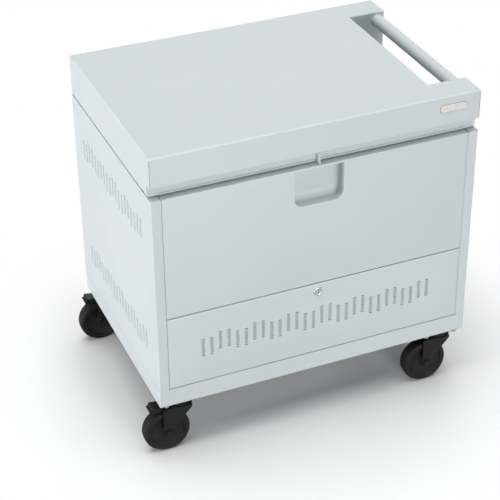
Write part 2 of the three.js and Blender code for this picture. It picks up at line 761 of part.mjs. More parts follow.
function lowerPanel() {
  const slots = ventRow(2 * (PAN_HALF - FRONT_VENT_MARGIN)).map(({ along, low }) => block(
    [along - VENT_WIDTH / 2, along + VENT_WIDTH / 2],
    [FRONT - 1, FRONT + 2 * SHEET],
    [low, low + VENT_HEIGHT],
  ));
  const hole = rod('y', LOCK_BODY_RADIUS + SEAT, [FRONT - 1, FRONT + 2 * SHEET], [0, LOCK_HEIGHT]);
  return piece('lower_panel', cut(frontPan(PANEL_BOTTOM, PANEL_TOP), ...slots, hole), PAINT);
}

function panelChannel() {
  const mouth = FRONT + SHEET + SEAT;
  const back = FRONT + CHANNEL_DEPTH;
  const high = LOCK_HEIGHT - LOCK_BODY_RADIUS - BEND;
  const low = high - CHANNEL_HEIGHT;
  const half = PAN_HALF - SHEET - SEAT;
  const path = [[mouth, low], [back, low], [back, high], [mouth, high]];
  return piece('panel_channel', prism('x', folded(path), [-half, half]), INNER_PAINT);
}

// Lock

function lockBody() {
  const centre = [0, LOCK_HEIGHT];
  const back = CAM_FRONT - SEAT - CAM_CLEARANCE;
  const bezel = rod('y', LOCK_BEZEL_RADIUS, [FRONT - SEAT - LOCK_BEZEL_PROUD, FRONT - SEAT], centre);
  const barrel = rod('y', LOCK_BODY_RADIUS, [FRONT - LOCK_BEZEL_PROUD, back], centre);
  const bore = rod('y', LOCK_PLUG_RADIUS + RUNNING_GAP, [FRONT - 2 * LOCK_BEZEL_PROUD, back + 1], centre);
  return piece('lock_body', cut(join(bezel, barrel), bore), LOCK_METAL);
}

function lockPlug() {
  const face = FRONT - SEAT - LOCK_BEZEL_PROUD;
  const plug = rod('y', LOCK_PLUG_RADIUS, [face, CAM_FRONT - SEAT], [0, LOCK_HEIGHT]);
  const keyway = block(
    [-LOCK_KEY_WIDTH / 2, LOCK_KEY_WIDTH / 2],
    [face - 1, face + LOCK_KEY_DEPTH],
    [LOCK_HEIGHT - LOCK_KEY_HEIGHT / 2, LOCK_HEIGHT + LOCK_KEY_HEIGHT / 2],
  );
  return piece('lock_plug', cut(plug, keyway), LOCK_METAL);
}

// The cam lies level when unlocked and turns up behind the cross rail.
function lockCam() {
  const half = CAM_WIDTH / 2;
  const outline = rounded([
    [-half, LOCK_HEIGHT - half, half * 0.9],
    [CAM_LENGTH, LOCK_HEIGHT - half, half / 2],
    [CAM_LENGTH, LOCK_HEIGHT + half, half / 2],
    [-half, LOCK_HEIGHT + half, half * 0.9],
  ]);
  return piece('lock_cam', prism('y', outline, [CAM_FRONT, CAM_FRONT + CAM_THICKNESS]), ZINC);
}

// Inside

function dividerRack(name, index) {
  const length = (BAY_WALL - BAY_LEFT - 2 * RACK_MARGIN - RACK_GAP) / 2;
  const left = BAY_LEFT + RACK_MARGIN + index * (length + RACK_GAP);
  const floor = DECK_TOP + SEAT;
  const deep = [FRONT + RACK_FROM_FRONT, FRONT + RACK_FROM_FRONT + DIVIDER_DEPTH];
  const pitch = (length - DIVIDER_THICKNESS) / SLOTS_PER_RACK;
  const outline = rounded([
    [deep[0], floor],
    [deep[1], floor],
    [deep[1], floor + DIVIDER_HEIGHT],
    [deep[0], floor + DIVIDER_HEIGHT, DIVIDER_CORNER],
  ], 5);
  let rack = block([left, left + length], deep, [floor, floor + RACK_BASE]);
  for (let i = 0; i <= SLOTS_PER_RACK; i += 1) {
    const x = left + i * pitch;
    rack = join(rack, prism('x', outline, [x, x + DIVIDER_THICKNESS]));
  }
  return piece(name, rack, GREY_PLASTIC);
}

// A bent trough along the rear sheet carries the charging leads.
function leadTray() {
  const back = REAR_INNER - SEAT;
  const front = back - TRAY_DEPTH;
  const low = BODY_TOP - TRAY_DROP;
  const path = [[back, low + TRAY_BACK], [back, low], [front, low], [front, low + TRAY_LIP]];
  const span = [BAY_LEFT + REAR_FLANGE + TRAY_MARGIN, BAY_WALL - TRAY_MARGIN];
  return piece('lead_tray', prism('x', folded([...path].reverse()), span), INNER_PAINT);
}

function outletStrip(name, rise) {
  const middle = (BAY_LEFT + BAY_WALL) / 2;
  const back = REAR_INNER - SEAT;
  const low = BASE_TOP + rise;
  const strip = block(
    [middle - STRIP_LENGTH / 2, middle + STRIP_LENGTH / 2],
    [back - STRIP_DEPTH, back],
    [low, low + STRIP_HEIGHT],
  );
  const pitch = STRIP_LENGTH / STRIP_OUTLETS;
  const recesses = Array.from({ length: STRIP_OUTLETS }, (_, i) => {
    const x = middle - STRIP_LENGTH / 2 + (i + 0.5) * pitch;
    const z = low + STRIP_HEIGHT / 2;
    const outline = rectangle(
      [x - OUTLET_SIZE / 2, x + OUTLET_SIZE / 2],
      [z - OUTLET_SIZE / 2, z + OUTLET_SIZE / 2],
    );
    return prism('y', outline, [back - STRIP_DEPTH - 1, back - STRIP_DEPTH + OUTLET_RECESS]);
  });
  return piece(name, cut(strip, ...recesses), BLACK_PLASTIC);
}

function chargeController() {
  const wide = [BAY_WALL + SHEET + CONTROLLER_MARGIN, HALF_WIDTH - SHEET - CONTROLLER_MARGIN];
  const low = DECK_TOP + SEAT;
  const outline = rectangle(wide, [low, WELL_FLOOR - CONTROLLER_HEADROOM], CONTROLLER_EDGE);
  const box = prism('y', outline, [-CONTROLLER_DEPTH / 2, CONTROLLER_DEPTH / 2]);
  return piece('charge_controller', box, BLACK_PLASTIC);
}

// The inlet and the switch share one moulding with a cavity for each.
function powerInlet() {
  const wide = [INLET_X - INLET_FLANGE_WIDTH / 2, INLET_X + INLET_FLANGE_WIDTH / 2];
  const tall = [INLET_Z - INLET_FLANGE_HEIGHT / 2, INLET_Z + INLET_FLANGE_HEIGHT / 2];
  const by = INLET_WALL + SEAT;
  const outer = REAR + SEAT + INLET_FLANGE_THICKNESS;
  const flange = prism('y', rectangle(wide, tall, INLET_WALL), [REAR + SEAT, outer]);
  const body = block(
    [wide[0] + by, wide[1] - by],
    [outer - INLET_BODY_DEPTH, outer - 1],
    [tall[0] + by, tall[1] - by],
  );
  const cavity = block(
    [INLET_X - INLET_CAVITY_WIDTH / 2, INLET_X + INLET_CAVITY_WIDTH / 2],
    [outer - INLET_CAVITY_DEPTH, outer + 1],
    [SOCKET_Z - INLET_CAVITY_HEIGHT / 2, SOCKET_Z + INLET_CAVITY_HEIGHT / 2],
  );
  const pocket = block(
    [INLET_X - ROCKER_WIDTH / 2 - ROCKER_GAP, INLET_X + ROCKER_WIDTH / 2 + ROCKER_GAP],
    [outer - INLET_CAVITY_DEPTH, outer + 1],
    [ROCKER_Z - ROCKER_HEIGHT / 2 - ROCKER_GAP, ROCKER_Z + ROCKER_HEIGHT / 2 + ROCKER_GAP],
  );
  const blades = [-1, 0, 1].map((i) => block(
    [
      INLET_X + i * INLET_BLADE_PITCH - INLET_BLADE_WIDTH / 2,
      INLET_X + i * INLET_BLADE_PITCH + INLET_BLADE_WIDTH / 2,
    ],
    [outer - INLET_CAVITY_DEPTH - 1, outer - INLET_CAVITY_DEPTH + INLET_BLADE_LENGTH],
    [SOCKET_Z - INLET_BLADE_HEIGHT / 2, SOCKET_Z + INLET_BLADE_HEIGHT / 2],
  ));
  return piece('power_inlet', join(cut(join(flange, body), cavity, pocket), ...blades), BLACK_PLASTIC);
}

// The rocker is drawn level about its pivot and stands tilted to its off side.
function powerSwitch() {
  const half = ROCKER_HEIGHT / 2 - ROCKER_GAP;
  const peak = Math.tan(THREE.MathUtils.degToRad(ROCKER_TILT)) * half;
  const outline = [[-ROCKER_DEPTH, -half], [0, -half], [-peak, 0], [0, half], [-ROCKER_DEPTH, half]]
    .map(([y, z]) => new THREE.Vector2(y, z));
  const rocker = prism('x', outline, [-ROCKER_WIDTH / 2 + SEAT, ROCKER_WIDTH / 2 - SEAT]);
  const reach = ROCKER_WIDTH / 2 + ROCKER_GAP - SEAT;
  const pivot = rod('x', ROCKER_PIN_RADIUS, [-reach, reach], [-ROCKER_DEPTH / 2, 0], PIN_SIDES);
  const mesh = piece('power_switch', join(rocker, pivot), BLACK_PLASTIC);
  mesh.geometry.translate(0, ROCKER_DEPTH / 2, 0);
  mesh.rotation.x = THREE.MathUtils.degToRad(-ROCKER_TILT);
  mesh.position.set(INLET_X, ROCKER_Y, ROCKER_Z);
  return mesh;
}

// Casters, drawn about the swivel axis with the floor at zero and the wheel trailing to -X

const PLATE_TOP = BASE_CLEARANCE - SEAT;
const RACE_BOTTOM = PLATE_TOP - TOP_PLATE_THICKNESS - RACE_HEIGHT;
const CROWN_TOP = RACE_BOTTOM - RUNNING_GAP;
const CROWN_BOTTOM = CROWN_TOP - CROWN_HEIGHT;
const LEG_INNER = Math.max(WHEEL_WIDTH, WHEEL_HUB_WIDTH) / 2 + FORK_SIDE_GAP;
const LEG_OUTER = LEG_INNER + LEG_THICKNESS;
const PEDAL_PIN_HEIGHT = BASE_CLEARANCE - PEDAL_PIN_DROP;

function casterPlate(name) {
  const plate = prism(
    'z',
    rectangle([-PLATE_SIZE_X / 2, PLATE_SIZE_X / 2], [-PLATE_SIZE_Y / 2, PLATE_SIZE_Y / 2], 2 * BEND),
    [PLATE_TOP - TOP_PLATE_THICKNESS, PLATE_TOP],
  );
  const race = rod('z', RACE_RADIUS, [RACE_BOTTOM, PLATE_TOP - 1], [0, 0]);
  const kingPin = rod('z', KING_PIN_RADIUS, [CROWN_BOTTOM, RACE_BOTTOM + 1], [0, 0], PIN_SIDES);
  return piece(name, join(plate, race, kingPin), ZINC);
}

function casterFork(name, braked) {
  const rise = [CROWN_BOTTOM, CROWN_TOP];
  const crown = rod('z', CROWN_BOTTOM_RADIUS, rise, [0, 0], BAR_SIDES, CROWN_TOP_RADIUS);
  const roof = block(
    [-CASTER_TRAIL + PEDAL_PIN_RADIUS + BEND, 0],
    [-LEG_OUTER, LEG_OUTER],
    [CROWN_BOTTOM, CROWN_BOTTOM + ROOF_THICKNESS],
  );
  const back = -CASTER_TRAIL - LEG_END_RADIUS;
  const outline = rounded([
    [back, WHEEL_HEIGHT - LEG_END_RADIUS, LEG_END_RADIUS * 0.98],
    [-CASTER_TRAIL + LEG_END_RADIUS, WHEEL_HEIGHT - LEG_END_RADIUS, LEG_END_RADIUS * 0.98],
    [-CASTER_TRAIL + LEG_END_RADIUS, WHEEL_HEIGHT + LEG_END_RADIUS],
    [LEG_FRONT_REACH, CROWN_BOTTOM, BEND],
    [LEG_FRONT_REACH, CROWN_TOP - BEND],
    [back, CROWN_TOP - BEND],
  ]);
  const legs = [-1, 1].map((hand) => prism(
    'y',
    outline,
    between(hand * LEG_INNER, hand * LEG_OUTER),
  ));
  const across = [-LEG_OUTER - 1, LEG_OUTER + 1];
  const well = [CROWN_BOTTOM - 1, CROWN_TOP + 1];
  const kingHole = rod('z', KING_PIN_RADIUS + RUNNING_GAP, well, [0, 0], PIN_SIDES);
  const axleHole = rod('y', AXLE_RADIUS + SEAT, across, [-CASTER_TRAIL, WHEEL_HEIGHT], PIN_SIDES);
  const fork = cut(join(crown, roof, ...legs), kingHole, axleHole);
  if (!braked) {
    return piece(name, fork, BLACK_PLASTIC);
  }
  const pedalHole = rod(
    'y',
    PEDAL_PIN_RADIUS + RUNNING_GAP,
    across,
    [-PEDAL_PIN_SETBACK, PEDAL_PIN_HEIGHT],
    PIN_SIDES,
  );
  return piece(name, cut(fork, pedalHole), BLACK_PLASTIC);
}

function casterWheel(name) {
  const tread = WHEEL_WIDTH / 2;
  const hub = WHEEL_HUB_WIDTH / 2;
  const dish = tread - WHEEL_DISH_DEPTH;
  const bore = AXLE_RADIUS + RUNNING_GAP;
  const half = [
    [bore, hub],
    [WHEEL_HUB_RADIUS, hub],
    [WHEEL_DISH_RADIUS, dish],
    [WHEEL_RADIUS - WHEEL_SHOULDER / 2, tread],
    [WHEEL_RADIUS, tread - WHEEL_SHOULDER],
  ];
  const section = [...half, ...half.map(([radius, y]) => [radius, -y]).reverse()].reverse();
  const mesh = piece(name, turned(section, WHEEL_SIDES), RUBBER);
  mesh.position.set(-CASTER_TRAIL, 0, WHEEL_HEIGHT);
  return mesh;
}

function casterAxle(name) {
  const centre = [-CASTER_TRAIL, WHEEL_HEIGHT];
  const reach = LEG_OUTER + SEAT;
  const heads = [-1, 1].map((hand) => rod(
    'y',
    AXLE_HEAD_RADIUS,
    between(hand * reach, hand * (reach + AXLE_HEAD_LENGTH)),
    centre,
    6,
  ));
  const shaft = rod('y', AXLE_RADIUS, [-reach - 1, reach + 1], centre, PIN_SIDES);
  return piece(name, join(shaft, ...heads), ZINC);
}

// The brake pedal pivots between the fork legs and reaches back over the tread.
function brakePedal(name) {
  const bottom = PEDAL_PIN_HEIGHT - PEDAL_THICKNESS / 2;
  const tip = -PEDAL_PIN_SETBACK - PEDAL_LENGTH;
  const outline = rounded([
    [-PEDAL_PIN_SETBACK + PEDAL_THICKNESS / 2, bottom, BEND],
    [-PEDAL_PIN_SETBACK + PEDAL_THICKNESS / 2, bottom + PEDAL_THICKNESS, BEND],
    [tip, bottom + 1.6 * PEDAL_THICKNESS, BEND / 2],
    [tip - PEDAL_LIP * 0.2, bottom + PEDAL_THICKNESS],
    [tip + PEDAL_LIP * 0.3, bottom + 0.75 * PEDAL_THICKNESS],
    [tip - PEDAL_LIP * 0.7, bottom + 0.7 * PEDAL_THICKNESS],
    [tip - PEDAL_LIP * 0.4, bottom - 0.1 * PEDAL_THICKNESS],
    [tip + PEDAL_LIP * 0.6, bottom],
  ]);
  const pad = prism('y', outline, [-PEDAL_WIDTH / 2, PEDAL_WIDTH / 2]);
  const pin = rod(
    'y',
    PEDAL_PIN_RADIUS,
    [-LEG_OUTER, LEG_OUTER],
    [-PEDAL_PIN_SETBACK, PEDAL_PIN_HEIGHT],
    PIN_SIDES,
  );
  return piece(name, join(pad, pin), BLACK_PLASTIC);
}

function caster(corner, handX, handY, braked) {
  const group = new THREE.Group();
  group.position.set(
    handX * (HALF_WIDTH - CASTER_FROM_SIDE),
    handY * (BODY_DEPTH / 2 - CASTER_FROM_FRONT),
    0,
  );
  group.add(casterPlate(`caster_${corner}_plate`));
  group.add(casterFork(`caster_${corner}_fork`, braked));
  group.add(casterWheel(`caster_${corner}_wheel`));
  group.add(casterAxle(`caster_${corner}_axle`));
  if (braked) {
    group.add(brakePedal(`caster_${corner}_pedal`));
  }
  return group;
}

const cart = new THREE.Group();
cart.name = 'laptop_charging_cart';

cart.add(basePan());
cart.add(baseFloor());
cart.add(sidePanel('left_side_panel', -1));
cart.add(sidePanel('right_side_panel', 1));
cart.add(rearPanel());
cart.add(deckShelf());
cart.add(deckStrip('deck_strip_left', -1));
cart.add(deckStrip('deck_strip_right', 1));
cart.add(crossRail());
cart.add(handWell());
cart.add(bayEndWall());

cart.add(dividerRack('divider_rack_left', 0));
cart.add(dividerRack('divider_rack_right', 1));
cart.add(leadTray());
cart.add(outletStrip('outlet_strip_lower', STRIP_RISES[0]));
cart.add(outletStrip('outlet_strip_upper', STRIP_RISES[1]));
cart.add(chargeController());
cart.add(powerInlet());
cart.add(powerSwitch());

cart.add(lidShell());
cart.add(lidStiffener());
cart.add(handleTube());
cart.add(lidCatch());
cart.add(blankPlate());
cart.add(hingeLeaf('lid_hinge_lower_leaf', -1));
cart.add(hingeLeaf('lid_hinge_upper_leaf', 1));
cart.add(hingePin());
cart.add(lidBumper('lid_bumper_left', -1));
cart.add(lidBumper('lid_bumper_right', 1));

cart.add(upperDoor());
cart.add(doorLiner());
cart.add(pullCup());
cart.add(pivotPin('door_pin_left', -1, DOOR_BOTTOM));
cart.add(pivotPin('door_pin_right', 1, DOOR_BOTTOM));
cart.add(lowerPanel());
cart.add(panelChannel());
cart.add(pivotPin('panel_pin_left', -1, PANEL_BOTTOM));
cart.add(pivotPin('panel_pin_right', 1, PANEL_BOTTOM));
cart.add(lockBody());
cart.add(lockPlug());
cart.add(lockCam());

cart.add(caster('front_left', -1, -1, true));
cart.add(caster('front_right', 1, -1, false));
cart.add(caster('rear_left', -1, 1, true));
cart.add(caster('rear_right', 1, 1, false));

export default cart;
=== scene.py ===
"""Dresses the laptop charging cart: bent sheet shells, vents, casters, fittings and their finishes.

Lengths are in millimetres and become metres when a piece is made. Finishes, floor, lamps and camera
are in metres.
"""
import json

import bpy
import numpy as np
from mathutils import Matrix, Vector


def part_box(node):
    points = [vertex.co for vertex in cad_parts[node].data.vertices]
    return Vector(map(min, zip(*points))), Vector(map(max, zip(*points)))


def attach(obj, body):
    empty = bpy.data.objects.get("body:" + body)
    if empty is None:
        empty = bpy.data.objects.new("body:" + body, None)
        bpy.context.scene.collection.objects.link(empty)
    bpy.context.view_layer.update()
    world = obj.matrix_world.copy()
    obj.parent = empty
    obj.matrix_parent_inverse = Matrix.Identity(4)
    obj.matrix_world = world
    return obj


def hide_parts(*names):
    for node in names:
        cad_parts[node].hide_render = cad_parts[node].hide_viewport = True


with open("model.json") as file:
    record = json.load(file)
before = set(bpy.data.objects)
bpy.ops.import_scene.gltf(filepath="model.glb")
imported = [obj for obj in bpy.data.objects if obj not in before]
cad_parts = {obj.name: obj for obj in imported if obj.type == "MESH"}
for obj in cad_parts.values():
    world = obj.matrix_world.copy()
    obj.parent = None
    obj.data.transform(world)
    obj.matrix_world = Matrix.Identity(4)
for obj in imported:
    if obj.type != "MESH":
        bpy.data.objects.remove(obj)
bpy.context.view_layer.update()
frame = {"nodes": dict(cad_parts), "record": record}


def reach(node):
    """Lowest and highest corner of a frame node, in millimetres."""
    low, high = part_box(node)
    return np.array(low) * 1000.0, np.array(high) * 1000.0


WALL_LOW, WALL_HIGH = reach("left_side_panel")
LID_LOW, LID_HIGH = reach("lid_shell")
BASE_LOW, BASE_HIGH = reach("base_pan")
DOOR_LOW, DOOR_HIGH = reach("upper_door")
PANEL_LOW, PANEL_HIGH = reach("lower_panel")
TUBE_LOW, TUBE_HIGH = reach("handle_tube")
LOCK_LOW, LOCK_HIGH = reach("lock_body")
PLATE_LOW, PLATE_HIGH = reach("blank_plate")

# Half the width, the front and rear faces and the main levels, as the solids have them.
HALF = LID_HIGH[0]
FRONT, REAR = WALL_LOW[1], WALL_HIGH[1]
BASE_TOP, BODY_TOP = BASE_HIGH[2], WALL_HIGH[2]
LID_BOTTOM, LID_TOP = LID_LOW[2], LID_HIGH[2]
# The sheet, the stiles, the fascia's foot, the groove's rear face, the handle notch and the hand well.
SHEET = 1.6
STILE = 22.0
STILE_RETURN = 28.0
BEND = 3.0
FASCIA = LID_TOP - 68.0
GROOVE = FRONT + 18.0
NOTCH_X = HALF - 92.0
NOTCH_Y = REAR - 70.0
WELL_FLOOR = BODY_TOP - 62.0

# Vents: columns of short dashes, every second pair lifted, in a lower and an upper row on the walls.
VENT_PITCH = 20.4
VENT_WIDTH = 8.5
VENT_LIFT = 9.4
VENT_LOW = BASE_TOP + 68.5
VENT_ROW_STEP = 286.0
DASHES = 8
DASH_PITCH = 6.07
DASH_HEIGHT = 2.1

# Inset limit of a corner that never shrinks to a point.
NO_LIMIT = 1e6


# Shapes

def unit(vector):
    """The vector over its length."""
    return vector / np.linalg.norm(vector)


def left_of(vector):
    """The unit vector a quarter turn to the left of a plane vector."""
    return unit(np.array([-vector[1], vector[0]]))


def corner_arc(before, here, after, radius, steps):
    """Points of the arc of that radius that touches both legs of a corner, and the left normals there.

    The centre lies on the corner's bisector at radius over the sine of half the corner angle.
    """
    back, ahead = unit(before - here), unit(after - here)
    half = np.arccos(np.clip(back @ ahead, -1, 1)) / 2
    centre = here + unit(back + ahead) * radius / np.sin(half)
    start = here + back * radius / np.tan(half) - centre
    end = here + ahead * radius / np.tan(half) - centre
    first = np.arctan2(start[1], start[0])
    turn = np.angle(np.exp(1j * (np.arctan2(end[1], end[0]) - first)))
    angles = first + turn * np.linspace(0, 1, steps + 1)
    spokes = np.column_stack([np.cos(angles), np.sin(angles)])
    return centre + radius * spokes, spokes * (-1 if turn > 0 else 1)


def bent_path(corners, radius, steps=6):
    """An open polyline with its inner corners rounded, by one radius or one each: points, left normals."""
    c = np.array(corners, float)
    points, normals = [c[:1]], [left_of(c[1] - c[0])[None]]
    radii = np.broadcast_to(radius, len(c) - 2)
    for before, here, after, size in zip(c[:-2], c[1:-1], c[2:], radii):
        arc, sides = corner_arc(before, here, after, size, steps)
        points.append(arc)
        normals.append(sides)
    points.append(c[-1:])
    normals.append(left_of(c[-1] - c[-2])[None])
    return np.vstack(points), np.vstack(normals)


def closed_loop(corners, steps=6):
    """A closed outline, counter-clockwise, from (u, v, radius) corners.

    Gives its points, their outward normals, the mitre of each point's corner and the inset at which a
    rounded corner has shrunk to a point. A sharp corner's normal is its mitre, which keeps legs parallel.
    """
    c = np.array([corner[:2] for corner in corners], float)
    points, normals, mitres, limits = [], [], [], []
    for i, corner in enumerate(corners):
        before, here, after = c[i - 1], c[i], c[(i + 1) % len(c)]
        a, b = -left_of(here - before), -left_of(after - here)
        mitre = ((a + b) / (1 + a @ b))[None]
        arc, sides = here[None], -mitre
        if corner[2] > 0:
            arc, sides = corner_arc(before, here, after, corner[2], steps)
        convex = corner[2] > 0 and a[0] * b[1] > a[1] * b[0]
        points.append(arc)
        normals.append(-sides)
        mitres.append(np.repeat(mitre, len(arc), axis=0))
        limits.append(np.full(len(arc), corner[2] if convex else NO_LIMIT))
    return np.vstack(points), np.vstack(normals), np.vstack(mitres), np.concatenate(limits)


def rectangle(u, v, radius=0.0, steps=6):
    """A rectangle between two values of u and two of v, given in any order, its corners rounded."""
    (left, right), (low, high) = sorted(u), sorted(v)
    corners = ((left, low), (right, low), (right, high), (left, high))
    return closed_loop([(*corner, radius) for corner in corners], steps)


def inset_rings(loop, insets):
    """Copies of an outline moved in by each inset: along its normals, then along its corners' mitres."""
    points, normals, mitres, limits = loop
    near = np.minimum(insets[:, None], limits[None])
    past = np.maximum(insets[:, None] - limits[None], 0.0)
    return points[None] - normals[None] * near[..., None] - mitres[None] * past[..., None]


def circle(radius, count):
    """A round outline about the origin: points, normals, mitres and inset limits as for closed_loop."""
    angles = np.linspace(0, 2 * np.pi, count, endpoint=False)
    spokes = np.column_stack([np.cos(angles), np.sin(angles)])
    return radius * spokes, spokes, spokes, np.full(count, NO_LIMIT)


def grid_faces(rows, columns, keep=None, wrap=False, wrap_rows=False):
    """Quads between the points of a grid, with a mask of cells, closed across columns or rows if asked."""
    r = np.arange(rows if wrap_rows else rows - 1)[:, None]
    c = np.arange(columns if wrap else columns - 1)[None, :]
    down, side = (r + 1) % rows, (c + 1) % columns
    quads = np.stack(np.broadcast_arrays(
        r * columns + c, r * columns + side, down * columns + side, down * columns + c), axis=-1)
    return quads.reshape(-1, 4) if keep is None else quads[keep]


def outward(points, faces):
    """The faces turned so that the surface's volume, the sum of its signed tetrahedra, is positive."""
    total = 0.0
    for size in {len(face) for face in faces}:
        group = np.array([face for face in faces if len(face) == size])
        p = points[group]
        for k in range(1, size - 1):
            total += np.einsum("ij,ij->", p[:, 0], np.cross(p[:, k], p[:, k + 1]))
    return faces if total > 0 else [face[::-1] for face in faces]


def rings_shell(rings, caps=True, wrap_rows=False):
    """A closed surface through a stack of closed rings, with a flat cap on the first and the last."""
    count, around = rings.shape[:2]
    points = rings.reshape(-1, 3)
    faces = grid_faces(count, around, wrap=True, wrap_rows=wrap_rows).tolist()
    if caps:
        faces.append(list(range(around))[::-1])
        faces.append(list(range((count - 1) * around, count * around)))
    return points, outward(points, faces)


def sheet_shell(outer, inner, keep):
    """A sheet with thickness: an outer and an inner grid of points, joined round the edge and each hole."""
    rows, columns = outer.shape[:2]
    points = np.vstack([outer.reshape(-1, 3), inner.reshape(-1, 3)])
    index, far = np.arange(rows * columns).reshape(rows, columns), rows * columns
    top = grid_faces(rows, columns, keep)
    faces = [top, top[:, ::-1] + far]
    ring = np.pad(keep, 1)
    corner = {"a": index[:-1, :-1], "b": index[:-1, 1:], "c": index[1:, 1:], "d": index[1:, :-1]}
    beside = {"ab": ring[:-2, 1:-1], "bc": ring[1:-1, 2:], "cd": ring[2:, 1:-1], "da": ring[1:-1, :-2]}
    for (first, second), other in beside.items():
        rim = keep & ~other
        p, q = corner[first][rim], corner[second][rim]
        faces.append(np.column_stack([q, p, p + far, q + far]))
    faces = np.vstack(faces).tolist()
    return points, outward(points, faces)


def stacked(flat, level, place):
    """Flat rings of (u, v), each at its own level, put into x, y, z."""
    return place(flat[..., 0], flat[..., 1], np.broadcast_to(level[:, None], flat.shape[:2]))


def slab(loop, low, high, edge, place):
    """A flat plate of an outline between two levels, its edges rounded as quarter circles.

    place puts (u, v, level) into x, y, z.
    """
    curve, rise = fillet(edge, 3)
    inset = np.concatenate([edge - rise, curve])
    level = np.concatenate([low + curve, high - (edge - rise)])
    return rings_shell(stacked(inset_rings(loop, inset), level, place))


def along_x(u, v, w):
    """Outline in (y, z), level along x."""
    return np.stack([w, u, v], axis=-1)


def along_y(u, v, w):
    """Outline in (x, z), level along y."""
    return np.stack([u, w, v], axis=-1)


def along_z(u, v, w):
    """Outline in (x, y), level along z."""
    return np.stack([u, v, w], axis=-1)


def turned(section, place, centre, count, closed=True):
    """A section of (radius, level) points carried round an axis through a centre in the plane.

    A section that isn't closed gets a flat cap at both ends.
    """
    section = np.array(section, float)
    spokes = circle(1.0, count)[0]
    flat = section[:, 0, None, None] * spokes[None] + np.array(centre)
    return rings_shell(stacked(flat, section[:, 1], place), caps=not closed, wrap_rows=closed)


def carried_across(ring, half_span):
    """A closed section in (y, z) carried along x, equally far to both sides."""
    flat = np.broadcast_to(ring[None], (2, *ring.shape))
    return rings_shell(stacked(flat, np.array([-half_span, half_span]), along_x))


def fillet(radius, steps):
    """Offsets of a quarter circle, one minus cosine and sine, each from zero to the radius."""
    angles = np.linspace(0, np.pi / 2, steps + 1)
    return radius * (1 - np.cos(angles)), radius * np.sin(angles)


def add_object(name, data):
    """An object at the origin, in the scene."""
    made = bpy.data.objects.new(name, data)
    bpy.context.scene.collection.objects.link(made)
    return made


def piece(name, shells, body, slot, nodes=(), sharp=32.0, material=None):
    """One object from one or more closed shells, in metres, riding a body and standing for nodes.

    It has its slot's finish or a material of its own. Faces of more than four corners are shaded flat.
    """
    points, faces, start = [], [], 0
    for shell_points, shell_faces in shells:
        points.append(shell_points * 0.001)
        faces.extend([[i + start for i in face] for face in shell_faces])
        start += len(shell_points)
    mesh = bpy.data.meshes.new(name)
    mesh.from_pydata(np.vstack(points).tolist(), [], faces)
    mesh.polygons.foreach_set("use_smooth", np.array([len(face) <= 4 for face in faces]))
    mesh.set_sharp_from_angle(angle=np.radians(sharp))
    mesh.materials.append(material or FINISH[slot])
    made = add_object(name, mesh)
    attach(made, body)
    if nodes:
        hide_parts(*nodes)


# Finishes

def plug(tree, value, socket):
    """A value given to a socket: a link from another socket, or a number or colour of its own."""
    if isinstance(value, bpy.types.NodeSocket):
        tree.links.new(value, socket)
    else:
        socket.default_value = value


def feed(tree, node, **inputs):
    """A node with some inputs given by name, where underscores stand for spaces."""
    for label, value in inputs.items():
        plug(tree, value, node.inputs[label.replace("_", " ")])
    return node


def add_node(tree, kind, **inputs):
    """A new shader node with some inputs given."""
    return feed(tree, tree.nodes.new("ShaderNode" + kind), **inputs)


def shader_group(name, numbers, outputs):
    """A node group with a vector, named numbers and named results: its tree, given values and results."""
    tree = bpy.data.node_groups.new(name, "ShaderNodeTree")
    tree.interface.new_socket(name="Vector", in_out="INPUT", socket_type="NodeSocketVector")
    for label, value in numbers.items():
        socket = tree.interface.new_socket(name=label, in_out="INPUT", socket_type="NodeSocketFloat")
        socket.default_value = value
    for label in outputs:
        tree.interface.new_socket(name=label, in_out="OUTPUT", socket_type="NodeSocketFloat")
    given, out = tree.nodes.new("NodeGroupInput"), tree.nodes.new("NodeGroupOutput")
    return tree, given.outputs, out.inputs


def noise(tree, vector, scale, detail, rough=0.5):
    """A noise texture on a vector; scale is a number or a socket."""
    node = add_node(tree, "TexNoise", Vector=vector, Scale=scale, Detail=detail, Roughness=rough)
    return node.outputs["Fac"]


def ramp(tree, value, low, high, to_low=0.0, to_high=1.0):
    """A value mapped from one range to another and held at its ends."""
    node = add_node(
        tree, "MapRange", Value=value, From_Min=low, From_Max=high, To_Min=to_low, To_Max=to_high)
    return node.outputs["Result"]


def maths(tree, operation, a, b):
    """A maths node on two values, each a number or a socket."""
    node = add_node(tree, "Math")
    node.operation = operation
    plug(tree, a, node.inputs[0])
    plug(tree, b, node.inputs[1])
    return node.outputs["Value"]


def stretched(tree, vector, scale):
    """A vector scaled along its axes."""
    return add_node(tree, "Mapping", Vector=vector, Scale=scale).outputs["Vector"]


def make_coat_skin():
    """Coat skin: a fine pebbled height, and a broad cloud for slow changes of tone."""
    tree, given, out = shader_group(
        "coat_skin", {"Pebble Scale": 700.0, "Cloud Scale": 3.0}, ("Height", "Cloud"))
    pebble = noise(tree, given["Vector"], given["Pebble Scale"], 2.0)
    cloud = noise(tree, given["Vector"], given["Cloud Scale"], 4.0)
    tree.links.new(pebble, out["Height"])
    tree.links.new(ramp(tree, cloud, 0.3, 0.7), out["Cloud"])
    return tree


def make_rub_marks():
    """Rub marks: thin scattered streaks, where a stretched and a broad noise are both high."""
    tree, given, out = shader_group("rub_marks", {"Amount": 0.5}, ("Mask",))
    streak = noise(tree, stretched(tree, given["Vector"], (90.0, 90.0, 9.0)), 1.0, 3.0)
    patch = noise(tree, given["Vector"], 5.0, 2.0)
    both = maths(tree, "MULTIPLY", ramp(tree, streak, 0.58, 0.72), ramp(tree, patch, 0.5, 0.68))
    tree.links.new(maths(tree, "MULTIPLY", both, given["Amount"]), out["Mask"])
    return tree


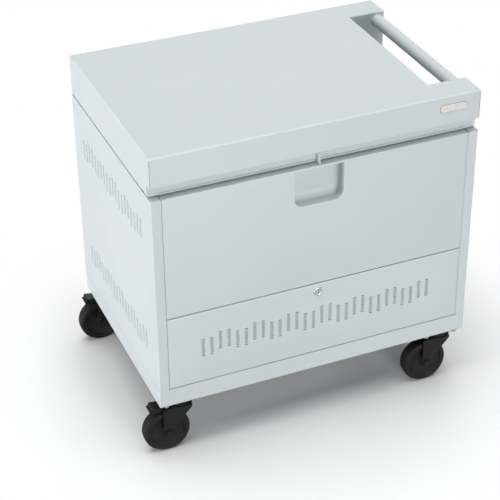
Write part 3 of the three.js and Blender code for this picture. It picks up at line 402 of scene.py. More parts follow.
def make_floor_dust():
    """Floor dust: fades out with height above the floor and breaks up with noise."""
    tree, given, out = shader_group("floor_dust", {"Height": 0.2, "Amount": 0.5}, ("Mask",))
    parts = add_node(tree, "SeparateXYZ", Vector=given["Vector"])
    low = ramp(tree, parts.outputs["Z"], 0.0, given["Height"], 1.0, 0.0)
    broken = ramp(tree, noise(tree, given["Vector"], 45.0, 5.0, 0.62), 0.38, 0.72)
    mask = maths(tree, "MULTIPLY", maths(tree, "MULTIPLY", low, broken), given["Amount"])
    tree.links.new(mask, out["Mask"])
    return tree


def make_brush_lines():
    """Brush lines: noise drawn out along one axis."""
    tree, given, out = shader_group("brush_lines", {}, ("Height",))
    lines = noise(tree, stretched(tree, given["Vector"], (60.0, 900.0, 900.0)), 1.0, 2.0)
    tree.links.new(lines, out["Height"])
    return tree


COAT_SKIN = make_coat_skin()
RUB_MARKS = make_rub_marks()
FLOOR_DUST = make_floor_dust()
BRUSH_LINES = make_brush_lines()


def srgb(red, green, blue):
    """A display colour of 0 to 255 as linear light."""
    value = np.array([red, green, blue]) / 255.0
    linear = np.where(value <= 0.04045, value / 12.92, ((value + 0.055) / 1.055) ** 2.4)
    return (*linear.tolist(), 1.0)


def blend_colour(tree, factor, first, second):
    """Two colours, each a tuple or a socket, mixed by a factor socket."""
    node = add_node(tree, "Mix")
    node.data_type = "RGBA"
    for index, value in ((0, factor), (6, first), (7, second)):
        plug(tree, value, node.inputs[index])
    return node.outputs[2]


def use_group(tree, group, vector, **values):
    """A group node on a vector, with its own values."""
    node = add_node(tree, "Group")
    node.node_tree = group
    return feed(tree, node, Vector=vector, **values)


def new_material(name):
    """A material with nodes: itself, its tree and its shader."""
    made = bpy.data.materials.new(name)
    made.use_nodes = True
    return made, made.node_tree, made.node_tree.nodes["Principled BSDF"]


# How far the gloss follows the tone and the rub marks, the height of the bumps in metres, and the dust.
TONE_GLOSS = 0.03
RUB_GLOSS = 0.12
BUMP_HEIGHT = 0.0006
DUST_COLOUR = srgb(150, 148, 142)


def finish(name, light, dark, rough, pebble=700.0, bump=0.05, metallic=0.0, rub=0.3, dust=0.0,
           dust_height=0.2, brushed=False, specular=0.5, cloud=3.0):
    """A finish from two display colours: slow tone, rub marks in the gloss, low dust, a fine height."""
    made, tree, shader = new_material(name)
    place = add_node(tree, "TexCoord").outputs["Object"]
    skin = use_group(tree, COAT_SKIN, place, Pebble_Scale=pebble, Cloud_Scale=cloud)
    marks = use_group(tree, RUB_MARKS, place, Amount=rub)
    colour = blend_colour(tree, skin.outputs["Cloud"], srgb(*dark), srgb(*light))
    if dust > 0:
        film = use_group(tree, FLOOR_DUST, place, Height=dust_height, Amount=dust)
        colour = blend_colour(tree, film.outputs["Mask"], colour, DUST_COLOUR)
    gloss = ramp(tree, skin.outputs["Cloud"], 0.0, 1.0, rough + TONE_GLOSS, rough - TONE_GLOSS)
    gloss = maths(tree, "ADD", gloss, maths(tree, "MULTIPLY", marks.outputs["Mask"], RUB_GLOSS))
    relief = use_group(tree, BRUSH_LINES, place) if brushed else skin
    lift = add_node(tree, "Bump", Strength=bump, Distance=BUMP_HEIGHT, Height=relief.outputs["Height"])
    feed(tree, shader, Base_Color=colour, Roughness=gloss, Normal=lift.outputs["Normal"],
         Metallic=metallic, Specular_IOR_Level=specular)
    return made


# The finish of each material slot of the solids.
FINISH = {
    "paint": finish("cart_paint", (191, 199, 202), (187, 195, 198), 0.42, 900.0, 0.04, rub=0.25),
    "inner_paint": finish("inner_paint", (196, 204, 207), (190, 198, 201), 0.5, 900.0, 0.05),
    "grey_plastic": finish("rack_plastic", (92, 97, 101), (84, 89, 93), 0.55, 1200.0, 0.12),
    "black_plastic": finish("moulded_black", (34, 35, 37), (28, 29, 31), 0.5, 1400.0, 0.15),
    "zinc": finish("zinc_plate", (172, 174, 175), (152, 155, 157), 0.42, metallic=1.0, bump=0.08,
                   brushed=True, cloud=40.0),
    "lock_metal": finish("lock_chrome", (186, 189, 190), (170, 173, 175), 0.3, metallic=1.0, cloud=60.0),
    "plate_metal": finish("plate_aluminium", (206, 205, 202), (196, 195, 193), 0.34, metallic=0.85,
                          bump=0.08, brushed=True, cloud=60.0),
    "rubber": finish("rest_rubber", (32, 32, 33), (26, 26, 27), 0.8, 900.0, 0.2),
    "caster_black": finish("caster_nylon", (9, 9, 9), (5, 5, 6), 0.5, 1100.0, 0.2, specular=0.2,
                           dust=0.04, dust_height=0.12),
    "caster_tread": finish("caster_tread", (10, 10, 10), (6, 6, 6), 0.62, 800.0, 0.25, specular=0.2,
                           dust=0.05, dust_height=0.09),
}
SEAL = finish("seal_grey", (196, 203, 206), (188, 195, 198), 0.7, 900.0, 0.1)
# Grey of the seam lines and of the badge's rim: painted shade, standing in for the shadow in narrow gaps.
SEAM_SHADE = finish("seam_shadow", (128, 136, 138), (120, 128, 130), 0.7, 900.0)

# The casters' zinc parts are black in the photograph.
for entry in frame["record"]["subparts"]:
    node = frame["nodes"][entry["node"]]
    node.data.materials.clear()
    slot = entry["material_slot"]
    blackened = entry["node"].startswith("caster") and slot == "zinc"
    node.data.materials.append(FINISH["caster_black" if blackened else slot])


# Vents

def vent_columns(length):
    """Centres of a row of vent columns and the lift of each: every second pair stands higher."""
    count = 2 * int((length / VENT_PITCH + 1) // 2)
    order = np.arange(count)
    return (order - (count - 1) / 2) * VENT_PITCH, (order // 2 % 2) * VENT_LIFT


def dash_stations(lows):
    """Lower and upper edges of all dashes of the columns that start at the given heights."""
    starts = (lows[:, None] + np.arange(DASHES) * DASH_PITCH).ravel()
    return np.concatenate([starts, starts + DASH_HEIGHT])


def merged(*stations):
    """All given stations in order, without repeats."""
    return np.unique(np.round(np.concatenate(stations), 4))


def middles(stations):
    """The points halfway between neighbouring stations."""
    return (stations[1:] + stations[:-1]) / 2


def dash_holes(heights, along, centres, lows):
    """Mask of the grid cells, between the given stations, whose middle lies in a dash of its column."""
    in_column = np.abs(middles(along)[:, None] - centres) < VENT_WIDTH / 2
    step = middles(heights)[:, None] - lows
    in_dash = (step > 0) & (step < DASHES * DASH_PITCH) & (step % DASH_PITCH < DASH_HEIGHT)
    return (in_dash[:, None, :] & in_column[None]).any(axis=2)


# Cabinet shells

# Support points lie this far beside a bend, so that the flats next to it shade evenly.
HOLD = 0.8
# A side wall's height above the base strip, and the bend of its stile's return.
WALL_LIFT = 0.3
RETURN_BEND = 1.0
# Edge radius of cut sheet and the seal.
CUT_EDGE = 0.2
# Length without vents, both ends together.
SIDE_VENT_FREE = 130.0
FRONT_VENT_FREE = 150.0
# Depth and edge radius of both fronts' pans.
PAN_DEPTH = 24.0
PAN_BEND = 1.2
# Both fronts reach this far below their solids, because the photograph shows narrower gaps.
PANEL_DROP = np.array([0.0, 0.0, 1.8])
DOOR_DROP = np.array([0.0, 0.0, 1.0])
# Half the square hole behind the lock's rim.
LOCK_HOLE = 8.5


def side_wall(name, hand):
    """A side wall, its stile and its return: a plan path carried up in z, with dashes left out.

    The outer face follows the path and the inner face lies one sheet inside its normals. Flat lips close
    the foot and the head. On the handle's side the wall is cut down to the hand well.
    """
    centres, lifts = vent_columns(REAR - FRONT - SIDE_VENT_FREE)
    centres = -centres
    lows = np.concatenate([VENT_LOW + lifts, VENT_LOW + VENT_ROW_STEP + lifts])
    edges = np.concatenate([centres - VENT_WIDTH / 2, centres + VENT_WIDTH / 2])
    bend_start = FRONT + 3 * BEND
    run = np.unique(np.concatenate([[REAR, bend_start, NOTCH_Y, -NOTCH_Y], edges]))[::-1]
    tail, sides = bent_path(
        [(-HALF, bend_start), (-HALF, FRONT), (-HALF + STILE, FRONT),
         (-HALF + STILE, FRONT + STILE_RETURN)], (BEND, RETURN_BEND))
    flat = np.flatnonzero(np.abs(tail[:, 1] - FRONT) < 1e-6)
    held = [[tail[flat[0], 0] + HOLD, FRONT], [tail[flat[-1], 0] - HOLD, FRONT]]
    tail = np.insert(tail, flat[-1], held, axis=0)
    sides = np.insert(sides, flat[-1], [[0.0, 1.0], [0.0, 1.0]], axis=0)
    plan = np.vstack([np.column_stack([np.full(len(run), -HALF), run]), tail[1:]])
    normal = np.vstack([np.tile([1.0, 0.0], (len(run), 1)), sides[1:]])
    heights = merged([BASE_TOP + WALL_LIFT, BODY_TOP, WELL_FLOOR], dash_stations(lows))
    keep = np.ones((len(heights) - 1, len(plan) - 1), bool)
    wall = keep[:, :len(run) - 1]
    wall &= ~dash_holes(heights, run, np.tile(centres, 2), lows)
    if hand > 0:
        wall &= ~((middles(heights) > WELL_FLOOR)[:, None] & (np.abs(middles(run)) < NOTCH_Y))
    mirror = np.array([-hand, 1.0])
    outer, inner = (
        np.stack(np.broadcast_arrays(p[None, :, 0] * mirror[0], p[None, :, 1], heights[:, None]), axis=-1)
        for p in (plan, plan + normal * SHEET))
    shells = [sheet_shell(outer, inner, keep)]
    across, whole = (-HALF + SHEET, -HALF + STILE - SHEET), (FRONT + SHEET, REAR)
    cut = [(FRONT + SHEET, -NOTCH_Y), (NOTCH_Y, REAR)]
    lips = [(BASE_TOP + WALL_LIFT, whole)]
    lips += [(BODY_TOP - SHEET, span) for span in (cut if hand > 0 else [whole])]
    for low, span in lips:
        points, normals, mitres, limits = rectangle(across, span)
        flip = (points * mirror, normals * mirror, mitres * mirror, limits)
        shells.append(slab(flip, low, low + SHEET, CUT_EDGE, along_z))
    node = "left_side_panel" if hand < 0 else "right_side_panel"
    piece(name, shells, "cabinet", "paint", (node,))


def pan_grid(low, high, inner_x, inner_z):
    """A shallow pan: a flat face whose edges roll back through a quarter circle into flanges.

    Each edge station has an inset and a depth; a point's depth is the larger of its two stations' depths.
    Gives the stations, the outer and inner points and the mask of cells, without the flanges' corners.
    """
    inset, fall = fillet(PAN_BEND, 4)
    edge = np.concatenate([[0.0, 0.0], inset[1:]])
    back = np.concatenate([[PAN_DEPTH, PAN_BEND], PAN_BEND - fall[1:]])
    lean = np.concatenate([[1.0, 1.0], 1 - inset[1:] / PAN_BEND])

    def stations(a, b, inner):
        """Places, depths and tilts of the stations between two ends."""
        place = np.concatenate([a + edge, inner, b - edge[::-1]])
        deep = np.concatenate([back, np.zeros(len(inner)), back[::-1]])
        tilt = np.concatenate([lean, np.zeros(len(inner)), -lean[::-1]])
        return place, deep, tilt

    x, x_deep, x_tilt = stations(low[0], high[0], inner_x)
    z, z_deep, z_tilt = stations(low[2], high[2], inner_z)
    x_far = x_deep + SHEET * np.sqrt(np.clip(1 - x_tilt ** 2, 0, 1))
    z_far = z_deep + SHEET * np.sqrt(np.clip(1 - z_tilt ** 2, 0, 1))
    outer = np.stack(np.broadcast_arrays(
        x[None], low[1] + np.maximum(x_deep[None], z_deep[:, None]), z[:, None]), axis=-1)
    inner = np.stack(np.broadcast_arrays(
        (x + SHEET * x_tilt)[None], low[1] + np.maximum(x_far[None], z_far[:, None]),
        (z + SHEET * z_tilt)[:, None]), axis=-1)
    keep = np.ones((len(z) - 1, len(x) - 1), bool)
    keep[[0, 0, -1, -1], [0, -1, 0, -1]] = False
    return x, z, outer, inner, keep


def lower_panel():
    """The vented lower panel: a pan with its dashes left out, and a square hole behind the lock's rim."""
    centres, lifts = vent_columns(PANEL_HIGH[0] - PANEL_LOW[0] - FRONT_VENT_FREE)
    lows = VENT_LOW + lifts
    lock_z = (LOCK_LOW[2] + LOCK_HIGH[2]) / 2
    hole = np.array([-LOCK_HOLE, LOCK_HOLE])
    inner_x = merged(centres - VENT_WIDTH / 2, centres + VENT_WIDTH / 2, hole)
    inner_z = merged(dash_stations(lows), lock_z + hole)
    x, z, outer, inner, keep = pan_grid(PANEL_LOW - PANEL_DROP, PANEL_HIGH, inner_x, inner_z)
    keep &= ~dash_holes(z, x, centres, lows)
    in_x = np.abs(middles(x)) < LOCK_HOLE
    in_z = np.abs(middles(z) - lock_z) < LOCK_HOLE
    keep &= ~(in_z[:, None] & in_x[None])
    shell = sheet_shell(outer, inner, keep)
    piece("lower_panel_shell", [shell], "lock_panel", "paint", ("lower_panel",))


# The pull cup: half its width, its top, foot and depth, the radii of its floor, its corners and its
# front roll, its sheet, and the flat collar's width beside and above it.
CUP_HALF = 57.5
CUP_TOP = DOOR_HIGH[2] - 5.5
CUP_LOW = CUP_TOP - 87.0
CUP_DEEP = 34.0
CUP_FILLET = 17.0
CUP_FOOT_CORNER = 19.0
CUP_TOP_CORNER = 3.5
CUP_ROLL = 2.0
CUP_SHEET = 1.5
COLLAR_SIDE = 4.0
COLLAR_TOP = 2.4


def cup_loop():
    """The pull cup's outline: nearly square at the top, round at the lower corners."""
    return closed_loop(
        [(-CUP_HALF, CUP_LOW, CUP_FOOT_CORNER), (CUP_HALF, CUP_LOW, CUP_FOOT_CORNER),
         (CUP_HALF, CUP_TOP, CUP_TOP_CORNER), (-CUP_HALF, CUP_TOP, CUP_TOP_CORNER)], 12)


def drop_front():
    """The drop front: a pan with a window, and a flat collar from the window to the cup's rolled rim.

    The collar's outer edge is the rim pushed out from the window's middle onto the window's edge.
    """
    window_x = np.array([-CUP_HALF - COLLAR_SIDE, CUP_HALF + COLLAR_SIDE])
    window_z = np.array([CUP_LOW - COLLAR_SIDE, CUP_TOP + COLLAR_TOP])
    x, z, outer, inner, keep = pan_grid(DOOR_LOW - DOOR_DROP, DOOR_HIGH, window_x, window_z)
    in_x = np.abs(middles(x)) < window_x[1]
    in_z = (middles(z) > window_z[0]) & (middles(z) < window_z[1])
    keep &= ~(in_z[:, None] & in_x[None])
    points, normals = cup_loop()[:2]
    rim = points + normals * CUP_ROLL
    middle = np.array([0.0, (window_z[0] + window_z[1]) / 2])
    half = np.array([window_x[1], (window_z[1] - window_z[0]) / 2])
    spread = rim - middle
    square = middle + spread / np.max(np.abs(spread) / half, axis=1)[:, None]
    collar = stacked(np.stack([rim, square, square, rim]),
                     FRONT + np.array([0.0, 0.0, SHEET, SHEET]), along_y)
    shells = [sheet_shell(outer, inner, keep), rings_shell(collar, caps=False, wrap_rows=True)]
    piece("drop_front_shell", shells, "drop_front", "paint", ("upper_door",))


def pull_cup():
    """The pull cup: its outline carried along a section, from the floor forward, over the roll and back.

    Each side of the section is straight and ends in a quarter circle into the floor.
    """
    roll_in, roll_back = fillet(CUP_ROLL, 4)
    bend, fall = fillet(CUP_FILLET, 8)
    straight = CUP_DEEP - CUP_FILLET
    behind_roll = [(CUP_ROLL, 1.7), (CUP_SHEET, 3.0)]
    section = np.vstack([
        np.column_stack([-bend, straight + fall])[::-1],
        np.column_stack([CUP_ROLL - roll_back, roll_in])[::-1],
        behind_roll,
        np.column_stack([CUP_SHEET - bend, straight + CUP_SHEET + fall])])
    flat = inset_rings(cup_loop(), -section[:, 0])
    shell = rings_shell(stacked(flat, FRONT + section[:, 1], along_y))
    piece("pull_cup_shell", [shell], "drop_front", "paint", ("pull_cup",))


# Lid

# Plan corners at the rear and at the front and ears, the rolled top edge, the hem's edge and its reach.
LID_CORNER = 4.6
EAR_CORNER = 3.4
LID_ROLL = 3.0
HEM_ROLL = 1.4
HEM_REACH = 13.0
# Half the run in which the lid's foot steps up to the fascia's foot.
GROOVE_STEP = 0.02


def lid_cover():
    """The lid's cover: its plan outline carried through a hem, a wall and a rolled top edge.

    A point's hem lies at the fascia's foot in front of the groove and at the lid's foot behind it. The
    rings run from the inner face of the top down to the hem and up the outer face.
    """
    before, behind = GROOVE - GROOVE_STEP, GROOVE + GROOVE_STEP
    outline = [
        (-HALF, REAR, LID_CORNER), (-HALF, behind, 0), (-HALF, before, 0), (-HALF, FRONT, EAR_CORNER),
        (HALF, FRONT, EAR_CORNER), (HALF, before, 0), (HALF, behind, 0), (HALF, -NOTCH_Y, EAR_CORNER),
        (NOTCH_X, -NOTCH_Y, 0), (NOTCH_X, NOTCH_Y, 0), (HALF, NOTCH_Y, EAR_CORNER),
        (HALF, REAR, LID_CORNER),
    ]
    loop = closed_loop(outline, 5)
    foot = np.where(loop[0][:, 1] < GROOVE, FASCIA, LID_BOTTOM)
    roll, rise = fillet(LID_ROLL, 6)
    hem, hem_rise = fillet(HEM_ROLL, 3)
    inset = np.concatenate(
        [(SHEET + hem)[::-1], [SHEET, HEM_REACH, HEM_REACH], hem[::-1], [0.0, 0.0], roll])
    above = np.concatenate(
        [(hem_rise - LID_ROLL)[::-1], [SHEET, SHEET, 0.0], (HEM_ROLL - hem_rise)[::-1],
         [HEM_ROLL + HOLD, -LID_ROLL - HOLD], rise - LID_ROLL])
    from_top = np.repeat([True, False, True], [len(hem), 4 + len(hem), 1 + len(roll)])
    flat = inset_rings(loop, inset)
    level = np.where(from_top[:, None], LID_TOP, foot[None]) + above[:, None]
    shell = rings_shell(along_z(flat[..., 0], flat[..., 1], level))
    piece("lid_cover", [shell], "lid", "paint", ("lid_shell",), sharp=40.0)


# The groove's band: its front edge, its rear flange, its sheet and its bend.
BAND_FRONT = FRONT + 11.0
BAND_FLANGE = 14.0
BAND_SHEET = 1.2
BAND_BEND = 2.4


def groove_band():
    """The band behind the lid's finger groove: a bent section carried across the lid."""
    high, low = FASCIA + 0.5, LID_BOTTOM + 0.2
    path, sides = bent_path(
        [(BAND_FRONT, high), (GROOVE, high), (GROOVE, low), (GROOVE + BAND_FLANGE, low)], BAND_BEND)
    ring = np.vstack([path, (path + sides * BAND_SHEET)[::-1]])
    piece("groove_band", [carried_across(ring, HALF - 0.3)], "lid", "paint")


# The seal: the bead's middle in (y, z), its half width and height and its distance from the stiles, the
# strips' distances from the lid's sides, their foot and head, and the room left round other pieces.
BEAD_MIDDLE = np.array([GROOVE + 3.6, LID_BOTTOM - 3.0])
BEAD_SIZE = np.array([3.0, 2.8])
BEAD_END = 4.0
STRIP_OUT = 1.8
STRIP_IN = 7.0
STRIP_LOW = BODY_TOP + 0.9
STRIP_HIGH = LID_BOTTOM + 0.8
REST_ROOM = 2.0
NOTCH_ROOM = 4.0
HINGE_ROOM = 14.0


def lid_seal():
    """The soft bead under the lid's front lip, a flattened circle carried across, and flat strips.

    The strips follow the walls, stop at the lid's rests and the handle notch, and turn in to the bead.
    """
    shells = [carried_across(circle(1.0, 20)[0] * BEAD_SIZE + BEAD_MIDDLE, HALF - STILE - BEAD_END)]
    rest_low, rest_high = reach("lid_bumper_left")
    before, behind, back = rest_low[1] - REST_ROOM, rest_high[1] + REST_ROOM, REAR - HINGE_ROOM
    runs = [(-1, STRIP_IN, behind, back), (1, STRIP_IN, behind, -NOTCH_Y - NOTCH_ROOM),
            (1, STRIP_IN, NOTCH_Y + NOTCH_ROOM, back)]
    runs += [(hand, STRIP_IN, GROOVE + 5.2, before) for hand in (-1, 1)]
    runs += [(hand, STILE + 3.8, GROOVE + 0.6, GROOVE + 5.0) for hand in (-1, 1)]
    for hand, depth, start, stop in runs:
        loop = rectangle((hand * (HALF - STRIP_OUT), hand * (HALF - depth)), (start, stop))
        shells.append(slab(loop, STRIP_LOW, STRIP_HIGH, CUT_EDGE, along_z))
    piece("lid_seal", shells, "lid", "rubber", sharp=60.0, material=SEAL)


# The strips in the side gaps: their thickness, and their front and rear edges.
GAP_STRIP = 1.9
GAP_STRIP_RUN = (FRONT + 0.9, FRONT + 9.0)


def gap_strips():
    """Thin strips on the stile returns that narrow the gaps beside the drop front and the lower panel."""
    shells = []
    for hand in (-1, 1):
        x = (hand * (HALF - STILE), hand * (HALF - STILE - GAP_STRIP))
        shells.append(slab(rectangle(x, GAP_STRIP_RUN), BASE_TOP + 2.0, BODY_TOP - 2.5, CUT_EDGE, along_z))
    piece("gap_strips", shells, "cabinet", "paint")


# The handle's wall, and its weld bead as (height on the tube, distance from the ear).
TUBE_WALL = 2.0
WELD_BEAD = ((0.05, 0.0), (2.2, 0.0), (1.6, 0.9), (0.8, 1.6), (0.05, 2.2))


def handle_bar():
    """The round push handle: a circle carried along y between the ears, with a turned bead at each ear."""
    centre = ((TUBE_LOW + TUBE_HIGH) / 2)[[0, 2]]
    radius = (TUBE_HIGH[0] - TUBE_LOW[0]) / 2
    bore, near, far = radius - TUBE_WALL, TUBE_LOW[1], TUBE_HIGH[1]
    shells = [turned([(bore, near), (radius, near), (radius, far), (bore, far)], along_y, centre, 64)]
    for ear, way in ((-NOTCH_Y, 1.0), (NOTCH_Y, -1.0)):
        bead = [(radius + height, ear + way * step) for height, step in WELD_BEAD]
        shells.append(turned(bead, along_y, centre, 64))
    piece("handle_bar", shells, "lid", "paint", ("handle_tube",))


# Width of the rim of painted shade round the badge.
BADGE_RIM = 1.1


def blank_badge():
    """The bare capsule plate on the fascia: its outline carried through a raised edge onto a sunk face.

    A thin plate of the same form, in the grey of painted shade, shows as a dark rim round it.
    """
    low, high = PLATE_LOW, PLATE_HIGH
    radius = (high[2] - low[2]) / 2 - 0.01
    section = np.array([
        (0.0, high[1] + 0.3), (0.0, low[1] + 0.5), (0.35, low[1]), (1.1, low[1]), (1.8, low[1] + 0.45),
        (2.2, low[1] + 0.45)])
    flat = inset_rings(rectangle((low[0], high[0]), (low[2], high[2]), radius, 14), section[:, 0])
    shell = rings_shell(stacked(flat, section[:, 1], along_y))
    under = rectangle((low[0] - BADGE_RIM, high[0] + BADGE_RIM), (low[2] - BADGE_RIM, high[2] + BADGE_RIM),
                      radius + BADGE_RIM, 14)
    piece("badge_shade_rim", [slab(under, FRONT - 0.35, FRONT + 0.4, 0.1, along_y)], "lid", "plate_metal",
          material=SEAM_SHADE)
    piece("blank_badge", [shell], "lid", "plate_metal", ("blank_plate",))


# The tongue's upper front edge behind the front, and how far its lower one sweeps forward from there.
TONGUE_BACK = 4.5
TONGUE_SWEEP = 3.0


def catch_tongue():
    """The tongue under the fascia: a plate whose front edge sweeps forward with the square of the drop."""
    low, high = reach("lid_catch")
    t = np.linspace(0, 1, 9)
    sweep = np.column_stack(
        [FRONT + TONGUE_BACK - TONGUE_SWEEP * t ** 2, high[2] - (high[2] - low[2]) * t])
    ring = np.vstack([(high[1], low[2]), (high[1], high[2]), sweep])
    loop = closed_loop([(u, v, 0) for u, v in ring[::-1]])
    shell = slab(loop, low[0], high[0], 0.5, along_x)
    piece("catch_tongue", [shell], "lid", "paint", ("lid_catch",))


# How far a seam's plate stands out of the sheet and is let into it, and its edge radius.
SEAM_OUT = 0.06
SEAM_IN = 0.6
SEAM_EDGE = 0.02


def front_line(x, z):
    """A seam's plate in the front, between two values of x and two of z."""
    return slab(rectangle(x, z), FRONT - SEAM_OUT, FRONT + SEAM_IN, SEAM_EDGE, along_y)


def fascia_seam_shade():
    """Thin lines of painted shade where the fascia meets the skirts: narrow plates let into the corner."""
    shells = [front_line((hand * (HALF - 1.2), hand * (HALF - 2.0)), (FASCIA + 2.5, LID_TOP - 3.2))
              for hand in (-1, 1)]
    piece("fascia_seam_shade", shells, "lid", "paint", material=SEAM_SHADE)


def base_seam_shade():
    """Thin lines of painted shade where the walls meet the base strip, and upright ones at the strip's
    front corners.
    """
    level = rectangle((FRONT + 4.0, REAR - 1.0), (BASE_TOP - 0.2, BASE_TOP + 0.4))
    upright = (BASE_LOW[2] + 1.0, BASE_TOP - 1.0)
    shells = []
    for hand in (-1, 1):
        start, stop = sorted((hand * (HALF + SEAM_OUT), hand * (HALF - SEAM_IN)))
        shells.append(slab(level, start, stop, SEAM_EDGE, along_x))
        shells.append(front_line((hand * (HALF - 2.0), hand * (HALF - 2.5)), upright))
    piece("base_seam_shade", shells, "cabinet", "paint", material=SEAM_SHADE)


# Lock

# Radii of the lock body's bore and of its neck behind the rim.
LOCK_BORE = 6.35
LOCK_NECK = 9.0


def lock_rim():
    """The lock's round body: a turned section with a rolled rim and a sunk face."""
    centre = ((LOCK_LOW + LOCK_HIGH) / 2)[[0, 2]]
    front, rear = LOCK_LOW[1], LOCK_HIGH[1]
    radius = (LOCK_HIGH[0] - LOCK_LOW[0]) / 2
    section = [
        (LOCK_BORE, rear), (LOCK_NECK, rear), (LOCK_NECK, FRONT + 0.2), (radius, FRONT - 0.1),
        (radius, front + 0.9), (radius - 0.4, front + 0.25), (radius - 1.1, front), (radius - 2.2, front),
        (radius - 2.8, front + 0.5), (7.2, front + 0.5), (LOCK_BORE, front + 0.9)]
    shell = turned(section, along_y, centre, 56)
    piece("lock_rim", [shell], "lock_panel", "lock_metal", ("lock_body",))


# Casters

# Half of a wheel's section: (radius, half width) of the hub and web, then (depth below the tread's crown,
# half width), and how much smaller than its solid the tread is.
WHEEL_WEB = np.array([
    (6.4, 17.0), (11.5, 17.0), (13.0, 16.2), (13.6, 13.0), (15.5, 11.6), (36.5, 11.2), (39.0, 12.0),
    (40.2, 14.0), (41.5, 14.9)])
WHEEL_TREAD = np.array([(7.0, 15.0), (4.2, 14.4), (1.8, 12.6), (0.5, 9.8), (0.1, 6.0), (0.0, 1.2)])
TREAD_ROOM = 0.02


def caster_wheel(corner):
    """A caster wheel: a turned section with a crowned tread, round shoulders, a dished web and a hub."""
    node = f"caster_{corner}_wheel"
    middle = sum(reach(node)) / 2
    half = np.vstack([WHEEL_WEB, [middle[2] - TREAD_ROOM, 0.0] + WHEEL_TREAD * [-1, 1]])
    section = np.vstack([half, (half * [1, -1])[::-1]]) + [0.0, middle[1]]
    shell = turned(section, along_y, middle[[0, 2]], 72)
    piece(f"wheel_{corner}", [shell], f"wheel_{corner}", "caster_tread", (node,))


# The fork: its crown as (radius, depth below its top), the crown's depth, the legs' faces from the wheel's
# middle, their top and reach, half the axle's eye, its rim as (radius, height), and half the roof.
FORK_CROWN = ((5.4, 0.0), (24.0, 0.0), (28.0, 0.6), (29.6, 2.2), (29.6, 4.0), (27.0, 8.5), (24.2, 11.0),
              (5.4, 11.0))
CROWN_DEPTH = 11.0
LEG_INNER = 18.5
LEG_OUTER = 22.0
LEG_TOP = 3.2
LEG_REACH = 24.0
EYE_HALF = 11.0
EYE_RIM = ((8.9, -0.4), (11.4, -0.4), (11.4, 0.9), (10.8, 1.5), (9.4, 1.5), (8.9, 0.9))
ROOF_HALF = 19.0


def caster_fork(corner):
    """A caster fork: a turned crown, a roof over the tread and two rounded legs with turned rims."""
    swivel = sum(reach(f"caster_{corner}_plate")) / 2
    axle = sum(reach(f"caster_{corner}_wheel")) / 2
    node = f"caster_{corner}_fork"
    top = reach(node)[1][2]
    shells = [turned([(radius, top - depth) for radius, depth in FORK_CROWN], along_z, swivel[:2], 56)]
    back, ahead, foot = axle[0] - EYE_HALF, swivel[0] + LEG_REACH, axle[2] - EYE_HALF
    leg = closed_loop([
        (back, foot, 10.9), (axle[0] + EYE_HALF, foot, 10.9), (axle[0] + 13.0, axle[2] + 10.0, 14.0),
        (ahead, top - CROWN_DEPTH, 5.0), (ahead, top - LEG_TOP, 2.0), (back, top - LEG_TOP, 5.0)], 10)
    for hand in (-1, 1):
        inner, outer = axle[1] + hand * LEG_INNER, axle[1] + hand * LEG_OUTER
        shells.append(slab(leg, min(inner, outer), max(inner, outer), 1.1, along_y))
        rim = [(radius, outer + hand * height) for radius, height in EYE_RIM]
        shells.append(turned(rim, along_y, axle[[0, 2]], 40))
    roof = rectangle((axle[0] + 5.6, swivel[0]), (axle[1] - ROOF_HALF, axle[1] + ROOF_HALF), 2.0)
    shells.append(slab(roof, top - CROWN_DEPTH, top - 3.4, 1.2, along_z))
    piece(f"fork_{corner}", shells, f"swivel_{corner}", "caster_black", (node,))


# Caster bolts: their places from the plate's middle, the plate's thickness, and the sizes of the hexagon
# head and of the washer.
BOLT_X = 36.0
BOLT_Y = 18.0
PLATE_THICK = 3.2
HEX_RADIUS = 6.2
HEX_LOW = 6.4
WASHER_RADIUS = 7.4
WASHER_LOW = 1.3


def caster_bolts(corner):
    """Four hexagon bolt heads with washers under a caster's top plate."""
    low, high = reach(f"caster_{corner}_plate")
    middle = (low + high) / 2
    under = high[2] - PLATE_THICK
    shells = []
    for x in (-BOLT_X, BOLT_X):
        for y in (-BOLT_Y, BOLT_Y):
            centre = middle[:2] + [x, y]
            angles = np.linspace(0, 2 * np.pi, 6, endpoint=False) + 0.3 * x
            corners = centre + HEX_RADIUS * np.column_stack([np.cos(angles), np.sin(angles)])
            hexagon = closed_loop([(u, v, 0.5) for u, v in corners], 2)
            shells.append(slab(hexagon, under - HEX_LOW, under - 1.2, 0.7, along_z))
            points, *rest = circle(WASHER_RADIUS, 32)
            washer = (points + centre, *rest)
            shells.append(slab(washer, under - WASHER_LOW, under + 0.1, 0.3, along_z))
    piece(f"bolts_{corner}", shells, "cabinet", "zinc")


# Screws: radii of the heads on the sheet and on the hinge, the rear sheet's edge distances, the leaves'
# thickness and the distance of the hinge's screws from the leaves' edges.
SHEET_SCREW = 4.2
HINGE_SCREW = 3.6
SCREW_SIDE = 11.0
SCREW_FOOT = 9.0
LEAF_FACE = REAR + 1.7
LEAF_EDGE = 9.0


def screw(centre, face, radius):
    """A low round screw head, a turned dome with a small dimple, standing out of a rear face along y."""
    section = [(0.6, face + 0.9), (1.5, face + 1.7), (radius - 1.2, face + 1.9),
               (radius - 0.3, face + 1.1), (radius, face - 0.2)]
    return turned(section, along_y, centre, 16, closed=False)


